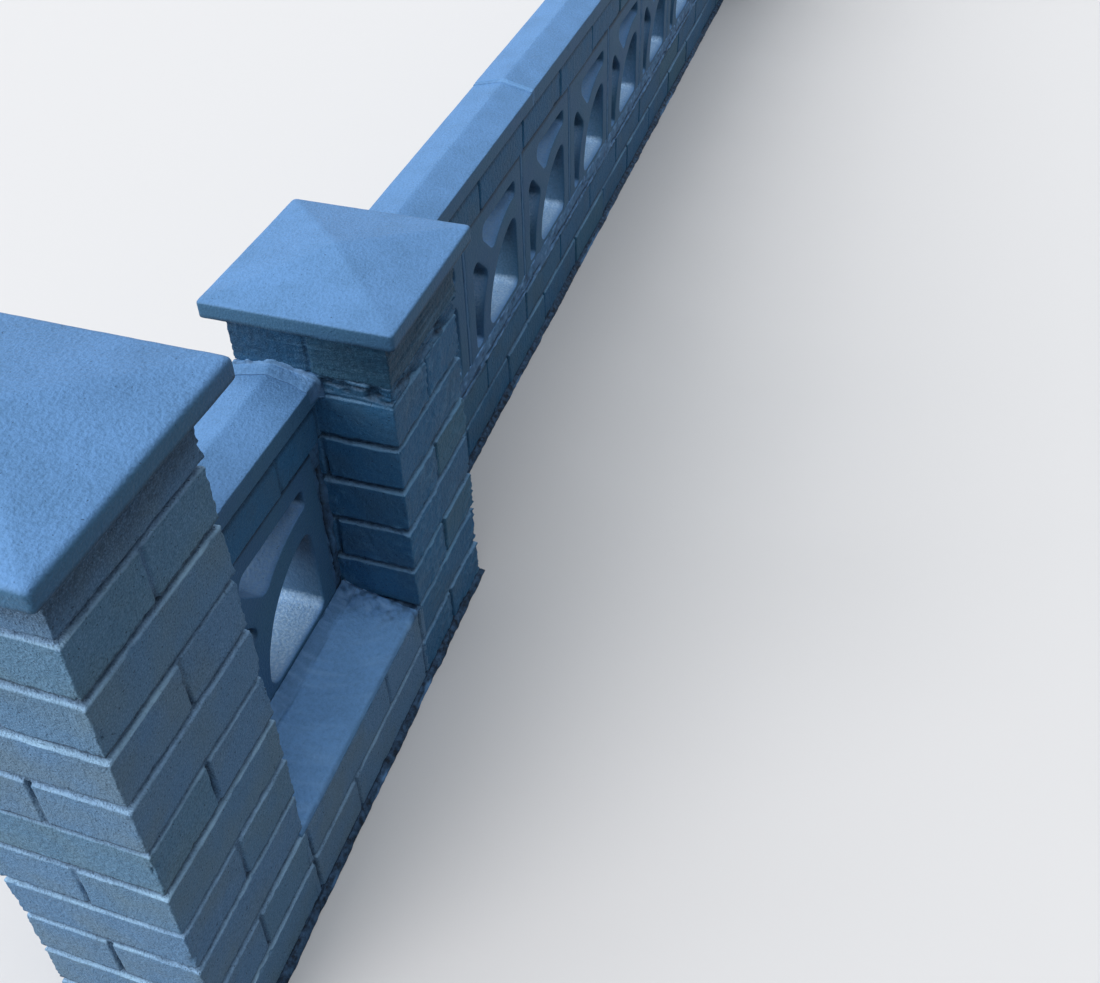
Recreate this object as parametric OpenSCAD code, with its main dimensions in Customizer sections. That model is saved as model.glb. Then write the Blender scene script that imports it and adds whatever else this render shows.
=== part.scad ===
// A low painted garden wall: brick piers with concrete caps, and bays of pierced
// screen blocks between them, under a brick course and saddleback coping.
// X runs along the wall, -Y is the patio side and Z is up. Z = 0 is the ground,
// X = 0 is the middle of the whole length and Y = 0 the middle of the piers.

/* [Brickwork] */
// Height of one course of bricks with its bed joint
course_h = 75; // [62:1:90]
// Length of a brick, which is the side of a pier
brick_l = 215; // [180:1:260]
// Width of a brick, which is the thickness of the thin base and of the top course
brick_w = 102.5; // [98:0.5:112]
// Thickness of the mortar joints
joint = 10; // [6:1:14]
// Courses of brick below the screen blocks
base_courses = 2; // [1:1:6]

/* [Piers] */
// Courses of brick in the middle pier and in the far pier
pier_courses = 8; // [8:1:12]
// Courses of brick in the near pier, which is the tall one
near_pier_courses = 11; // [8:1:16]
// Thickness of the mortar bed under each cap
cap_bed = 10; // [6:1:25]
// Extra thickness of the rough bed under the top bricks of the middle and far piers
rough_bed = 22; // [0:1:30]

/* [Caps] */
// How far the caps of the middle and far piers stand out past the brickwork
cap_over = 22.5; // [10:0.5:45]
// How far the near pier's cap stands out past the brickwork
near_cap_over = 32.5; // [10:0.5:45]
// Height of the upright edge of a cap
cap_edge = 24; // [18:1:45]
// Rise of the shallow pyramid on a cap
cap_rise = 28; // [8:1:45]

/* [Screen blocks] */
// Side of a square pierced block
block_w = 290; // [270:1:320]
// Thickness of a pierced block
block_t = 90; // [80:1:98]
// Solid border round the openings of a block
block_border = 34; // [28:1:40]
// Width of the webs between the openings
block_web = 40; // [30:1:46]
// Radius of the rounded corners of the small openings
small_corner_r = 9; // [5:1:11]
// Radius of the rounded ends of the large opening
large_corner_r = 20; // [10:1:26]
// Radius of the square corner of the large opening
heel_corner_r = 15; // [8:1:24]
// Depth of the joint faces behind the faces of the blocks
joint_recess = 4; // [2:1:8]
// Thickness of the thin mortar beds below and above the blocks
block_bed = 5; // [3:1:12]
// Thickness of the mortar bed under the coping
coping_bed = 2; // [1:1:12]

/* [Bays] */
// Blocks in the long bay
long_blocks = 9; // [9:1:9]
// Mortar between the near pier and the short bay's block
short_near_joint = 48; // [10:1:60]
// Mortar between the short bay's block and the middle pier
short_far_joint = 24; // [10:1:60]
// Distance from the back of the piers to the back of the thin brickwork
screen_inset = 4.25; // [0:0.25:12]

/* [Coping] */
// How far the coping stands out past the brickwork on each side
coping_over = 5.75; // [1:0.25:20]
// Height of the upright edge of the coping
coping_edge = 31; // [20:1:45]
// Rise of the coping from its edges to its ridge
coping_rise = 14; // [6:1:30]
// Coping stones over the long bay
coping_stones = 4; // [4:1:4]
// Length of the first coping stone over the long bay, with its joint
first_coping_l = 655; // [500:5:900]
// Width of the joint between two coping stones
coping_joint = 5; // [3:1:10]

/* [Mortar slopes] */
// Rise of the sloped mortar on the ledge of the short bay
ledge_rise = 34; // [15:1:50]
// Thickness of the sloped mortar at the outer edge of the ledge
ledge_lip = 4; // [2:1:8]
// Width of the steeper strip of mortar against the short bay's block
ledge_strip_w = 22; // [10:1:40]
// Height of that strip
ledge_strip_h = 9; // [4:1:14]
// Height of the mortar fillet at the foot of the long bay's blocks
foot_rise = 30; // [15:1:45]
// Height of the mortar fillet along the ground
skirt_h = 14; // [8:1:30]
// Width of the mortar fillet along the ground
skirt_w = 11; // [6:1:23]

/* [Hidden] */
$fn = 64;

brick_colour = "#4A6075";
block_colour = "#50667B";
cap_colour = "#7FA3C9";
mortar_colour = "#557089";

pitch = block_w + joint;
short_gap = short_near_joint + block_w + short_far_joint;
long_gap = long_blocks * pitch + joint;
total_l = near_cap_over + 3 * brick_l + short_gap + long_gap + cap_over;

near_x = near_cap_over - total_l / 2;
short_x = near_x + brick_l;
middle_x = short_x + short_gap;
long_x = middle_x + brick_l;
far_x = long_x + long_gap;

pier_top = pier_courses * course_h + rough_bed;
near_top = near_pier_courses * course_h;

ledge_z = base_courses * course_h;
block_z = ledge_z + block_bed;
course_z = block_z + block_w + block_bed;
coping_z = course_z + course_h - joint + coping_bed;

pier_y = -brick_l / 2;
thin_y = brick_l / 2 - screen_inset - brick_w;
block_y = thin_y + (brick_w - block_t) / 2;
coping_y = thin_y - coping_over;
coping_w = brick_w + 2 * coping_over;

short_block_x = short_x + short_near_joint;
other_coping_l = (long_gap - first_coping_l) / (coping_stones - 1);

// Pierced pattern of a block, seen from the patio, from its lower left corner
arc_centre = [block_w - block_border, block_border];
arc_r = 0.524 * block_w;
spandrel_r = arc_r + block_web;

function unit(v) = v / norm(v);

// A box from its lower corner and its size
module box(corner, size) {
    translate(corner) cube(size);
}

module pier(x, top) {
    color(brick_colour)
        box([x, pier_y, 0], [brick_l, brick_l, top + cap_bed]);
}

// A shallow pyramid is what two gable roofs at right angles have in common
module gable(width, edge, rise) {
    rotate([90, 0, 0])
        linear_extrude(height = width, center = true)
            polygon([
                [-width / 2, 0], [width / 2, 0], [width / 2, edge],
                [0, edge + rise], [-width / 2, edge]
            ]);
}

module cap(x, top, over) {
    width = brick_l + 2 * over;
    color(cap_colour)
        translate([x + brick_l / 2, 0, top + cap_bed])
            intersection() {
                gable(width, cap_edge, cap_rise);
                rotate([0, 0, 90]) gable(width, cap_edge, cap_rise);
            }
}

module base(x, length, y0, y1) {
    color(brick_colour)
        box([x, y0, 0], [length, y1 - y0, ledge_z]);
}

// The large opening: a quarter disc with its point and its two ends rounded
module large_opening() {
    r = large_corner_r;
    reach = sqrt(pow(arc_r - r, 2) - r * r);
    c = arc_centre;
    low = [c.x - reach, c.y + r];
    high = [c.x - r, c.y + reach];
    heel = [c.x - heel_corner_r, c.y + heel_corner_r];
    intersection() {
        translate(c) circle(r = arc_r);
        polygon([
            [low.x, c.y], [heel.x, c.y], [c.x, heel.y], [c.x, high.y], high,
            c + 1.4 * arc_r * unit(high - c), c + 1.4 * arc_r * unit(low - c), low
        ]);
    }
    translate(low) circle(r = r);
    translate(high) circle(r = r);
    translate(heel) circle(r = heel_corner_r);
}

// One small opening, above the arc and right of the stem, with rounded corners
module small_opening() {
    r = small_corner_r;
    c = arc_centre;
    top = block_w - block_border;
    stem = block_w + sqrt(2) * (block_web / 2 + r);
    side = sqrt(pow(spandrel_r + r, 2) - r * r);
    // The stem's edge runs at 45 degrees toward the middle of the arc
    across = (stem - c.x - c.y) / sqrt(2);
    along = sqrt(pow(spandrel_r + r, 2) - across * across);
    tip = [stem - (top - r), top - r];
    foot = c + across * [1, 1] / sqrt(2) + along * [-1, 1] / sqrt(2);
    right_low = [c.x - r, c.y + side];
    right_top = [c.x - r, top - r];
    difference() {
        union() {
            polygon([
                tip - r * [1, 1] / sqrt(2), foot - r * [1, 1] / sqrt(2),
                foot + r * unit(c - foot), right_low + r * unit(c - right_low),
                right_low + [r, 0], right_top + [r, 0], right_top + [0, r], tip + [0, r]
            ]);
            for (p = [tip, foot, right_low, right_top])
                translate(p) circle(r = r);
        }
        translate(c) circle(r = spandrel_r);
    }
}

module block_face() {
    difference() {
        square(block_w);
        large_opening();
        small_opening();
        // The other small opening mirrors the first across the block's diagonal
        translate([block_w, block_w]) mirror([0, 1]) rotate(90) small_opening();
    }
}

module block(x) {
    color(block_colour)
        translate([x, block_y + block_t, block_z])
            rotate([90, 0, 0])
                linear_extrude(height = block_t) block_face();
}

module long_block(i) {
    block(long_x + joint + (i - 1) * pitch);
}

// The mortar round the blocks of a bay: a bed below, a bed above and the upright joints
module joints(x, length, block_xs) {
    color(mortar_colour)
        difference() {
            box(
                [x, block_y + joint_recess, ledge_z],
                [length, block_t - 2 * joint_recess, course_z - ledge_z]
            );
            for (bx = block_xs)
                box([bx, block_y, block_z], [block_w, block_t, block_w]);
        }
}

module top_course(x, length) {
    color(brick_colour)
        box([x, thin_y, course_z], [length, brick_w, coping_z - course_z]);
}

module coping(x, length) {
    color(cap_colour)
        translate([x, coping_y, coping_z])
            rotate([90, 0, 90])
                linear_extrude(height = length)
                    polygon([
                        [0, 0], [coping_w, 0], [coping_w, coping_edge],
                        [coping_w / 2, coping_edge + coping_rise], [0, coping_edge]
                    ]);
}

// Only the last stone has no joint at its far end, where it meets the pier
module long_coping(i) {
    length = i == 1 ? first_coping_l : other_coping_l;
    start = i == 1 ? 0 : first_coping_l + (i - 2) * other_coping_l;
    coping(long_x + start, length - (i < coping_stones ? coping_joint : 0));
}

// A strip along X whose section in Y and Z is given by its points
module strip(x, length, points) {
    color(mortar_colour)
        translate([x, 0, 0])
            rotate([90, 0, 90])
                linear_extrude(height = length) polygon(points);
}

// The fillet along the ground: one run of it, with the wall's face on its left
module skirt(from, angle, start, end) {
    translate(from)
        rotate(angle)
            strip(start, end - start, [[-skirt_w, 0], [0, 0], [0, skirt_h]]);
}

// Where the fillet turns an outer corner, it is what two runs past the corner share
module skirt_corner(from, angle_in, angle_out) {
    intersection() {
        skirt(from, angle_in, 0, skirt_w);
        skirt(from, angle_out, -skirt_w, 0);
    }
}

module near_pier() { pier(near_x, near_top); }
module middle_pier() { pier(middle_x, pier_top); }
module far_pier() { pier(far_x, pier_top); }

module near_cap() { cap(near_x, near_top, near_cap_over); }
module middle_cap() { cap(middle_x, pier_top, cap_over); }
module far_cap() { cap(far_x, pier_top, cap_over); }

module short_base() { base(short_x, short_gap, pier_y, thin_y + brick_w); }
module long_base() { base(long_x, long_gap, thin_y, thin_y + brick_w); }

module short_ledge() {
    strip(short_x, short_gap, [
        [pier_y, ledge_z], [block_y, ledge_z], [block_y, ledge_z + ledge_rise],
        [block_y - ledge_strip_w, ledge_z + ledge_rise - ledge_strip_h],
        [pier_y, ledge_z + ledge_lip]
    ]);
}

module long_block_fillet() {
    strip(long_x, long_gap, [
        [thin_y, ledge_z], [block_y, ledge_z], [block_y, ledge_z + foot_rise]
    ]);
}

module ground_fillet() {
    middle_corner = [long_x, pier_y];
    far_corner = [far_x, pier_y];
    setback = thin_y - pier_y;
    skirt(middle_corner, 0, near_x - long_x, 0);
    skirt_corner(middle_corner, 0, 90);
    skirt(middle_corner, 90, 0, setback);
    skirt([long_x, thin_y], 0, 0, long_gap);
    skirt(far_corner, -90, -setback, 0);
    skirt_corner(far_corner, -90, 0);
    skirt(far_corner, 0, 0, brick_l);
}

module short_joints() { joints(short_x, short_gap, [short_block_x]); }
module long_joints() {
    joints(long_x, long_gap, [for (i = [0 : long_blocks - 1]) long_x + joint + i * pitch]);
}

module short_block() { block(short_block_x); }
module short_top_course() { top_course(short_x, short_gap); }
module long_top_course() { top_course(long_x, long_gap); }
module short_coping() { coping(short_x, short_gap); }

near_pier();
middle_pier();
far_pier();
near_cap();
middle_cap();
far_cap();
short_base();
long_base();
short_ledge();
long_block_fillet();
ground_fillet();
short_joints();
long_joints();
short_block();
long_block(1);  // long_block_1
long_block(2);  // long_block_2
long_block(3);  // long_block_3
long_block(4);  // long_block_4
long_block(5);  // long_block_5
long_block(6);  // long_block_6
long_block(7);  // long_block_7
long_block(8);  // long_block_8
long_block(9);  // long_block_9
short_top_course();
long_top_course();
short_coping();
long_coping(1);  // long_coping_1
long_coping(2);  // long_coping_2
long_coping(3);  // long_coping_3
long_coping(4);  // long_coping_4
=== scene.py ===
"""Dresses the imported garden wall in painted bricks, pierced blocks, caps, coping and mortar.

Every new piece is a surface worked out with numpy in millimetres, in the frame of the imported
model, and becomes a mesh in metres. X runs along the wall, -Y is the patio side and Z is up.
"""

import logging
import math
from dataclasses import dataclass, field, replace
from enum import Enum, StrEnum
from typing import ClassVar

import bpy
import numpy as np
from mathutils import Matrix, Vector
from mathutils.geometry import delaunay_2d_cdt


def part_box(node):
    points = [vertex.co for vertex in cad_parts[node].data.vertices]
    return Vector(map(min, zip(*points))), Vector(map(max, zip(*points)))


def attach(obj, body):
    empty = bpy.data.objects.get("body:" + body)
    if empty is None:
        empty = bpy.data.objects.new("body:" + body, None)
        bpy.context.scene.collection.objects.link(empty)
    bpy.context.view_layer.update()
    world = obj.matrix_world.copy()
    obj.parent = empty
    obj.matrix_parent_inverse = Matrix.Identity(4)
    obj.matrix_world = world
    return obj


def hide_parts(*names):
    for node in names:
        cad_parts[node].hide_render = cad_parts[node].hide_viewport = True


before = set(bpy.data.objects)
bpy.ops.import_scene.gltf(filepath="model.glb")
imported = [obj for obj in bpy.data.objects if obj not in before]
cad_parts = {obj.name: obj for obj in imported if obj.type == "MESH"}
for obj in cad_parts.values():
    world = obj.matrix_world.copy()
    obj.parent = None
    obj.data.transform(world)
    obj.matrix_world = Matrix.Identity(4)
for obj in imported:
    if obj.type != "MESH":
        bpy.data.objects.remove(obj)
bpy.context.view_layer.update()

LOG = logging.getLogger("garden_wall")

MM = 0.001
BRICK_L = 215.0
BRICK_H = 65.0
JOINT = 10.0
COURSE_H = BRICK_H + JOINT
BRICK_PITCH = BRICK_L + JOINT
KEYED = 8.0  # How far a run of wall reaches into the pier at each end
BEND_STEP = 25.0  # About how many degrees of a rounded corner one straight step spans

# What the hash multiplies by, and the largest whole number of 32 bits
AXIS_PRIMES = (73856093, 19349663, 83492791)
SEED_PRIME = 2971215073
MIXER = 0x45D9F3B
LARGEST = 0xFFFFFFFF


# Noise

# The lattice spacing of a noise in mm, or one for each axis
Size = float | tuple[float, float, float]


def hashed(cells: np.ndarray, seed: int) -> np.ndarray:
    """Gives each row of three whole numbers a fixed value.

    The numbers are multiplied by large primes, combined bit by bit and mixed twice.

    Args:
        cells: Whole numbers, three to a row.
        seed: Which set of values.

    Returns:
        Values from -1 to 1, one for each row.
    """
    x, y, z = (cells[..., axis] * prime for axis, prime in enumerate(AXIS_PRIMES))
    mixed = (x ^ y ^ z ^ (seed * SEED_PRIME)) & LARGEST
    for _ in range(2):
        mixed = (((mixed >> 16) ^ mixed) * MIXER) & LARGEST
    return ((mixed >> 16) ^ mixed) / (LARGEST // 2) - 1.0


def fractal(points: np.ndarray, size: Size, seed: int, octaves: int = 2) -> np.ndarray:
    """Sums layers of value noise, each of half the size and half the height of the one before.

    In a layer, fixed values on a lattice are blended between its corners by a cubic fade.

    Args:
        points: Points in mm.
        size: Lattice spacing of the first layer.
        seed: Which pattern.
        octaves: How many layers.

    Returns:
        Values from about -1 to 1, one for each point.
    """
    total = np.zeros(points.shape[:-1])
    for layer in range(octaves):
        scaled = points / (np.asarray(size, float) / 2**layer)
        cell = np.floor(scaled).astype(np.int64)
        fade = scaled - cell
        fade = fade * fade * (3 - 2 * fade)
        for corner in np.ndindex(2, 2, 2):
            sides = [fade[..., k] if corner[k] else 1 - fade[..., k] for k in range(3)]
            value = hashed(cell + np.array(corner), seed + 31 * layer)
            total += sides[0] * sides[1] * sides[2] * value / 2**layer
    return total / (2 - 2.0 ** (1 - octaves))


def step(low: float, high: float, x: np.ndarray) -> np.ndarray:
    """Rises smoothly from 0 at low to 1 at high, or falls where low is the larger."""
    t = np.clip((x - low) / (high - low), 0, 1)
    return t * t * (3 - 2 * t)


def bell(x: np.ndarray, width: float) -> np.ndarray:
    """A smooth bump that is 1 at 0 and fades out over the width."""
    return np.exp(-((x / width) ** 2))


def quarter_round(distance: np.ndarray, radius: float) -> np.ndarray:
    """How far a rounded edge lies behind the face, at so many mm from the edge."""
    t = 1 - np.clip(distance / radius, 0, 1)
    return radius * (1 - np.sqrt(1 - t * t))


# Surfaces


class Mark(StrEnum):
    """What a surface tells its paint about each point, from 0 to 1, or from -1 for the tone."""

    JOINT = "joint"  # How dark it is with dirt and with painted shade
    WEAR_AND_HIGHLIGHT = "lip"  # How pale it is with wear and with painted highlights
    TONE = "tone"  # Which way the colour of its brick leans
    BARE_AND_LIT = "bare"  # How thin the coat is and how much painted light it has


@dataclass
class Surface:
    """Points and faces that become one mesh.

    Args:
        points: The points in mm, three to a row.
        faces: Arrays of point numbers, one row for each face.
        marks: For each mark, a value at each point, which the paint reads.
    """

    points: np.ndarray
    faces: list[np.ndarray]
    marks: dict[Mark, np.ndarray] = field(default_factory=dict)

    def normals(self) -> np.ndarray:
        """Finds each point's direction outwards.

        It is the sum of the cross products of its faces' diagonals, made one long.

        Returns:
            The directions, three to a row.
        """
        total = np.zeros_like(self.points)
        for face in self.faces:
            corner = self.points[face]
            cross = np.cross(corner[:, 2] - corner[:, 0], corner[:, -1] - corner[:, 1])
            for column in face.T:
                for axis in range(3):
                    total[:, axis] += np.bincount(column, cross[:, axis], len(total))
        return total / np.maximum(np.linalg.norm(total, axis=1, keepdims=True), 1e-12)

    def pushed(self, out: np.ndarray) -> "Surface":
        """Returns the surface with each point moved outwards by so many mm."""
        return Surface(self.points + self.normals() * out[:, None], self.faces, self.marks)

    def triangles(self) -> int:
        """Counts the triangles that the faces make."""
        return sum(len(face) * (face.shape[1] - 2) for face in self.faces)

    def to_object(self, name: str, material: bpy.types.Material) -> bpy.types.Object:
        """Makes a smooth-shaded mesh object at the origin.

        Args:
            name: Name of the object.
            material: Its only material.

        Returns:
            The object, linked to the scene.
        """
        mesh = bpy.data.meshes.new(name)
        mesh.vertices.add(len(self.points))
        mesh.vertices.foreach_set("co", (self.points * MM).ravel())
        corners = np.concatenate([face.ravel() for face in self.faces])
        sizes = np.concatenate([np.full(len(face), face.shape[1]) for face in self.faces])
        mesh.loops.add(len(corners))
        mesh.loops.foreach_set("vertex_index", corners)
        mesh.polygons.add(len(sizes))
        mesh.polygons.foreach_set("loop_start", np.cumsum(sizes) - sizes)
        mesh.update(calc_edges=True)
        mesh.shade_smooth()
        for mark, value in self.marks.items():
            mesh.attributes.new(mark, "FLOAT", "POINT").data.foreach_set("value", value)
        mesh.materials.append(material)
        made = bpy.data.objects.new(name, mesh)
        bpy.context.collection.objects.link(made)
        return made


def joined(surfaces: list[Surface]) -> Surface:
    """Puts surfaces together, with a mark at 0 where one of them lacks it.

    Args:
        surfaces: The surfaces.

    Returns:
        One surface that holds them all.
    """
    starts = np.cumsum([0] + [len(s.points) for s in surfaces])
    marks = sorted({mark for s in surfaces for mark in s.marks})
    return Surface(
        np.concatenate([s.points for s in surfaces]),
        [face + start for s, start in zip(surfaces, starts) for face in s.faces],
        {m: np.concatenate([s.marks.get(m, np.zeros(len(s.points))) for s in surfaces]) for m in marks},
    )


def wrapped(rows: int, cols: int) -> np.ndarray:
    """Numbers the faces of a grid that closes round its second parameter.

    Args:
        rows: How many points it has along its first parameter.
        cols: How many it has round its second.

    Returns:
        The four corners of each face.
    """
    i, j = np.meshgrid(np.arange(rows - 1), np.arange(cols), indexing="ij")
    k = (j + 1) % cols
    corners = [i * cols + j, (i + 1) * cols + j, (i + 1) * cols + k, i * cols + k]
    return np.stack(corners, axis=-1).reshape(-1, 4)


def tube(points: np.ndarray, marks: dict[Mark, np.ndarray] | None = None) -> Surface:
    """Wraps a grid of points round its second parameter and fills its two ends with fans.

    Args:
        points: Rows of points in mm. Each row is a closed loop that runs anticlockwise when
            it is seen from the last row.
        marks: Values at each point of the grid.

    Returns:
        A closed surface.
    """
    rows, cols = points.shape[:2]
    ring = np.arange(cols)
    after = (ring + 1) % cols
    first = np.stack([np.full(cols, rows * cols), ring, after], axis=-1)
    last = np.stack([ring, after, ring], axis=-1) + (rows - 1) * cols
    last[:, 0] = rows * cols + 1
    ends = np.stack([points[0].mean(axis=0), points[-1].mean(axis=0)])
    return Surface(
        np.concatenate([points.reshape(-1, 3), ends]),
        [wrapped(rows, cols), np.concatenate([first, last])],
        {
            mark: np.concatenate([value.ravel(), [value[0].mean(), value[-1].mean()]])
            for mark, value in (marks or {}).items()
        },
    )


# Outlines and paths


def arc(centre: np.ndarray, radius: float, start: float, stop: float, steps: int = 3) -> np.ndarray:
    """Returns points of an arc from one angle in degrees to another, so many steps apart."""
    angle = np.radians(np.linspace(start, stop, steps + 1))
    return np.asarray(centre) + radius * np.stack([np.cos(angle), np.sin(angle)], axis=-1)


def bearing(towards: np.ndarray) -> float:
    """Returns the angle in degrees of a direction in the plane."""
    return math.degrees(math.atan2(towards[1], towards[0]))


def outline(bends: list[np.ndarray], spacing: float, closed: bool = True) -> np.ndarray:
    """Joins bends by straight stretches cut into even steps.

    Args:
        bends: Arrays of points, two to a row, in order.
        spacing: About how long a step of a straight stretch is in mm.
        closed: Whether the last bend joins the first one.

    Returns:
        The outline's points, with none twice.
    """
    parts = []
    for bend, after in zip(bends, [*bends[1:], bends[0]]):
        gap = after[0] - bend[-1]
        steps = max(round(float(np.linalg.norm(gap)) / spacing), 1)
        parts += [bend, bend[-1] + gap * (np.arange(1, steps) / steps)[:, None]]
    points = np.concatenate(parts if closed else parts[:-1])
    apart = np.linalg.norm(points - np.roll(points, 1, axis=0), axis=1) > 1e-6
    return points[apart]


def rounded(
    corners: list[tuple[float, float, float]], spacing: float, closed: bool = True
) -> np.ndarray:
    """Draws an outline of straight stretches with an arc at each corner that touches both.

    The arc's middle lies on the corner's bisector, its radius over the sine of half the
    corner's angle away.

    Args:
        corners: The corners as (first, second, radius) in mm, in order.
        spacing: About how long a step of a straight stretch is in mm.
        closed: Whether the last corner joins the first one.

    Returns:
        The outline's points, two to a row.
    """
    places = np.array(corners)[:, :2]
    bends = []
    for k, (_, _, radius) in enumerate(corners):
        if radius == 0:
            bends.append(places[k : k + 1])
            continue
        back = places[k - 1] - places[k]
        ahead = places[(k + 1) % len(places)] - places[k]
        back, ahead = back / np.linalg.norm(back), ahead / np.linalg.norm(ahead)
        half = math.acos(float(back @ ahead)) / 2
        middle = places[k] + (back + ahead) / np.linalg.norm(back + ahead) * radius / math.sin(half)
        start = bearing(places[k] + back * radius / math.tan(half) - middle)
        stop = bearing(places[k] + ahead * radius / math.tan(half) - middle)
        sweep = (stop - start + 180) % 360 - 180
        steps = max(round(abs(sweep) / BEND_STEP), 1)
        bends.append(arc(middle, radius, start, start + sweep, steps))
    return outline(bends, spacing, closed)


def graded(start: float, stop: float, marks: list[float], fine: float, coarse: float) -> np.ndarray:
    """Sets places along a line, close together near the marks and wide apart elsewhere.

    A running count grows by one over the wanted spacing, and a place is where it reaches
    each whole step.

    Args:
        start: First place in mm.
        stop: Last place in mm.
        marks: Where the spacing is fine.
        fine: Spacing at the marks in mm.
        coarse: Spacing away from them in mm.

    Returns:
        The places, rising.
    """
    samples = np.linspace(start, stop, max(int((stop - start) * 3), 8))
    near = np.abs(samples[:, None] - np.array(marks)).min(axis=1)
    spacing = fine + (coarse - fine) * step(3.0, 9.0, near)
    count = np.concatenate([[0], np.cumsum(np.diff(samples) / spacing[1:])])
    return np.interp(np.linspace(0, count[-1], math.ceil(count[-1]) + 1), count, samples)


def inside_corner(a: np.ndarray, b: np.ndarray, radius: float) -> np.ndarray:
    """Measures how far points lie inside two edges that meet in a rounded corner.

    Where both edges are nearer than the radius it is the radius less the distance from the
    round's middle, and elsewhere the distance from the nearer edge.

    Args:
        a: Distance inside the one edge in mm.
        b: Distance inside the other edge.
        radius: Radius of the corner in mm.

    Returns:
        The distances inside in mm, less than 0 outside.
    """
    a, b = radius - a, radius - b
    return radius - np.hypot(np.maximum(a, 0), np.maximum(b, 0)) - np.minimum(np.maximum(a, b), 0)


def even(start: float, stop: float, spacing: float) -> np.ndarray:
    """Returns places about one spacing apart, from the first to the last."""
    return np.linspace(start, stop, max(round((stop - start) / spacing), 1) + 1)


def slab(fine: np.ndarray, low: float, high: float) -> np.ndarray:
    """Draws a section with two long faces, at the low and the high first coordinate.

    Args:
        fine: Places of the points on both faces, along the second coordinate, rising.
        low: First coordinate of one face in mm.
        high: First coordinate of the other face.

    Returns:
        A clockwise loop of points, two to a row, with few on its narrow sides.
    """
    across = low + (high - low) * np.linspace(0.08, 0.92, 5)
    return np.concatenate([
        np.stack([np.full_like(fine, low), fine], axis=-1),
        np.stack([across, np.full_like(across, fine[-1])], axis=-1),
        np.stack([np.full_like(fine, high), fine[::-1]], axis=-1),
        np.stack([across[::-1], np.full_like(across, fine[0])], axis=-1),
    ])


def faces_of(section: np.ndarray) -> np.ndarray:
    """Tells a slab's faces: -1 on the one at its low first coordinate, 1 on the other, else 0."""
    across = section[:, 0]
    return (across == across.max()).astype(float) - (across == across.min())


def within(points: np.ndarray, loop: np.ndarray) -> np.ndarray:
    """Tells which points lie inside a closed outline.

    A point is inside when a line from it to the right crosses the outline an odd number of
    times.

    Args:
        points: Points in the plane, two to a row.
        loop: The outline's points in order.

    Returns:
        True for each point inside.
    """
    after = np.roll(loop, -1, axis=0)
    across, up = points[:, :1], points[:, 1:]
    spans = (loop[:, 1] > up) != (after[:, 1] > up)
    rise = np.where(after[:, 1] == loop[:, 1], 1.0, after[:, 1] - loop[:, 1])
    crossing = loop[:, 0] + (up - loop[:, 1]) / rise * (after[:, 0] - loop[:, 0])
    return (spans & (across < crossing)).sum(axis=1) % 2 == 1


def filled(rims: list[np.ndarray], spacing: float) -> tuple[np.ndarray, np.ndarray]:
    """Fills the plane inside the first rim and outside the others with triangles.

    The rims and an even grid of points are joined into triangles, and those whose middle
    lies in an opening are dropped.

    Args:
        rims: Outlines, two coordinates to a row.
        spacing: Spacing of the grid in mm.

    Returns:
        The grid's points, and anticlockwise triangles of numbers that count the rims'
        points first and then the grid's.
    """
    rim_points = np.concatenate(rims)
    low, high = rim_points.min(axis=0), rim_points.max(axis=0)
    ticks = [even(a + spacing, b - spacing, spacing) for a, b in zip(low, high)]
    grid = np.stack(np.meshgrid(*ticks), axis=-1).reshape(-1, 2)
    clear = np.linalg.norm(grid[:, None] - rim_points, axis=-1).min(axis=1) > 0.6 * spacing
    grid = grid[clear & ~np.any([within(grid, rim) for rim in rims[1:]], axis=0)]
    starts = np.cumsum([0] + [len(rim) for rim in rims])
    edges = [(a + k, a + (k + 1) % len(rim)) for rim, a in zip(rims, starts) for k in range(len(rim))]
    flat = np.concatenate([rim_points, grid])
    found = delaunay_2d_cdt([Vector(point) for point in flat], edges, [], 0, 1e-5)
    sources = np.array([numbers[0] for numbers in found[3]])
    faces = sources[np.array(found[2])]
    middle = flat[faces].mean(axis=1)
    open_at = np.any([within(middle, rim) for rim in rims[1:]], axis=0)
    return grid, faces[within(middle, rims[0]) & ~open_at]


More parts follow.
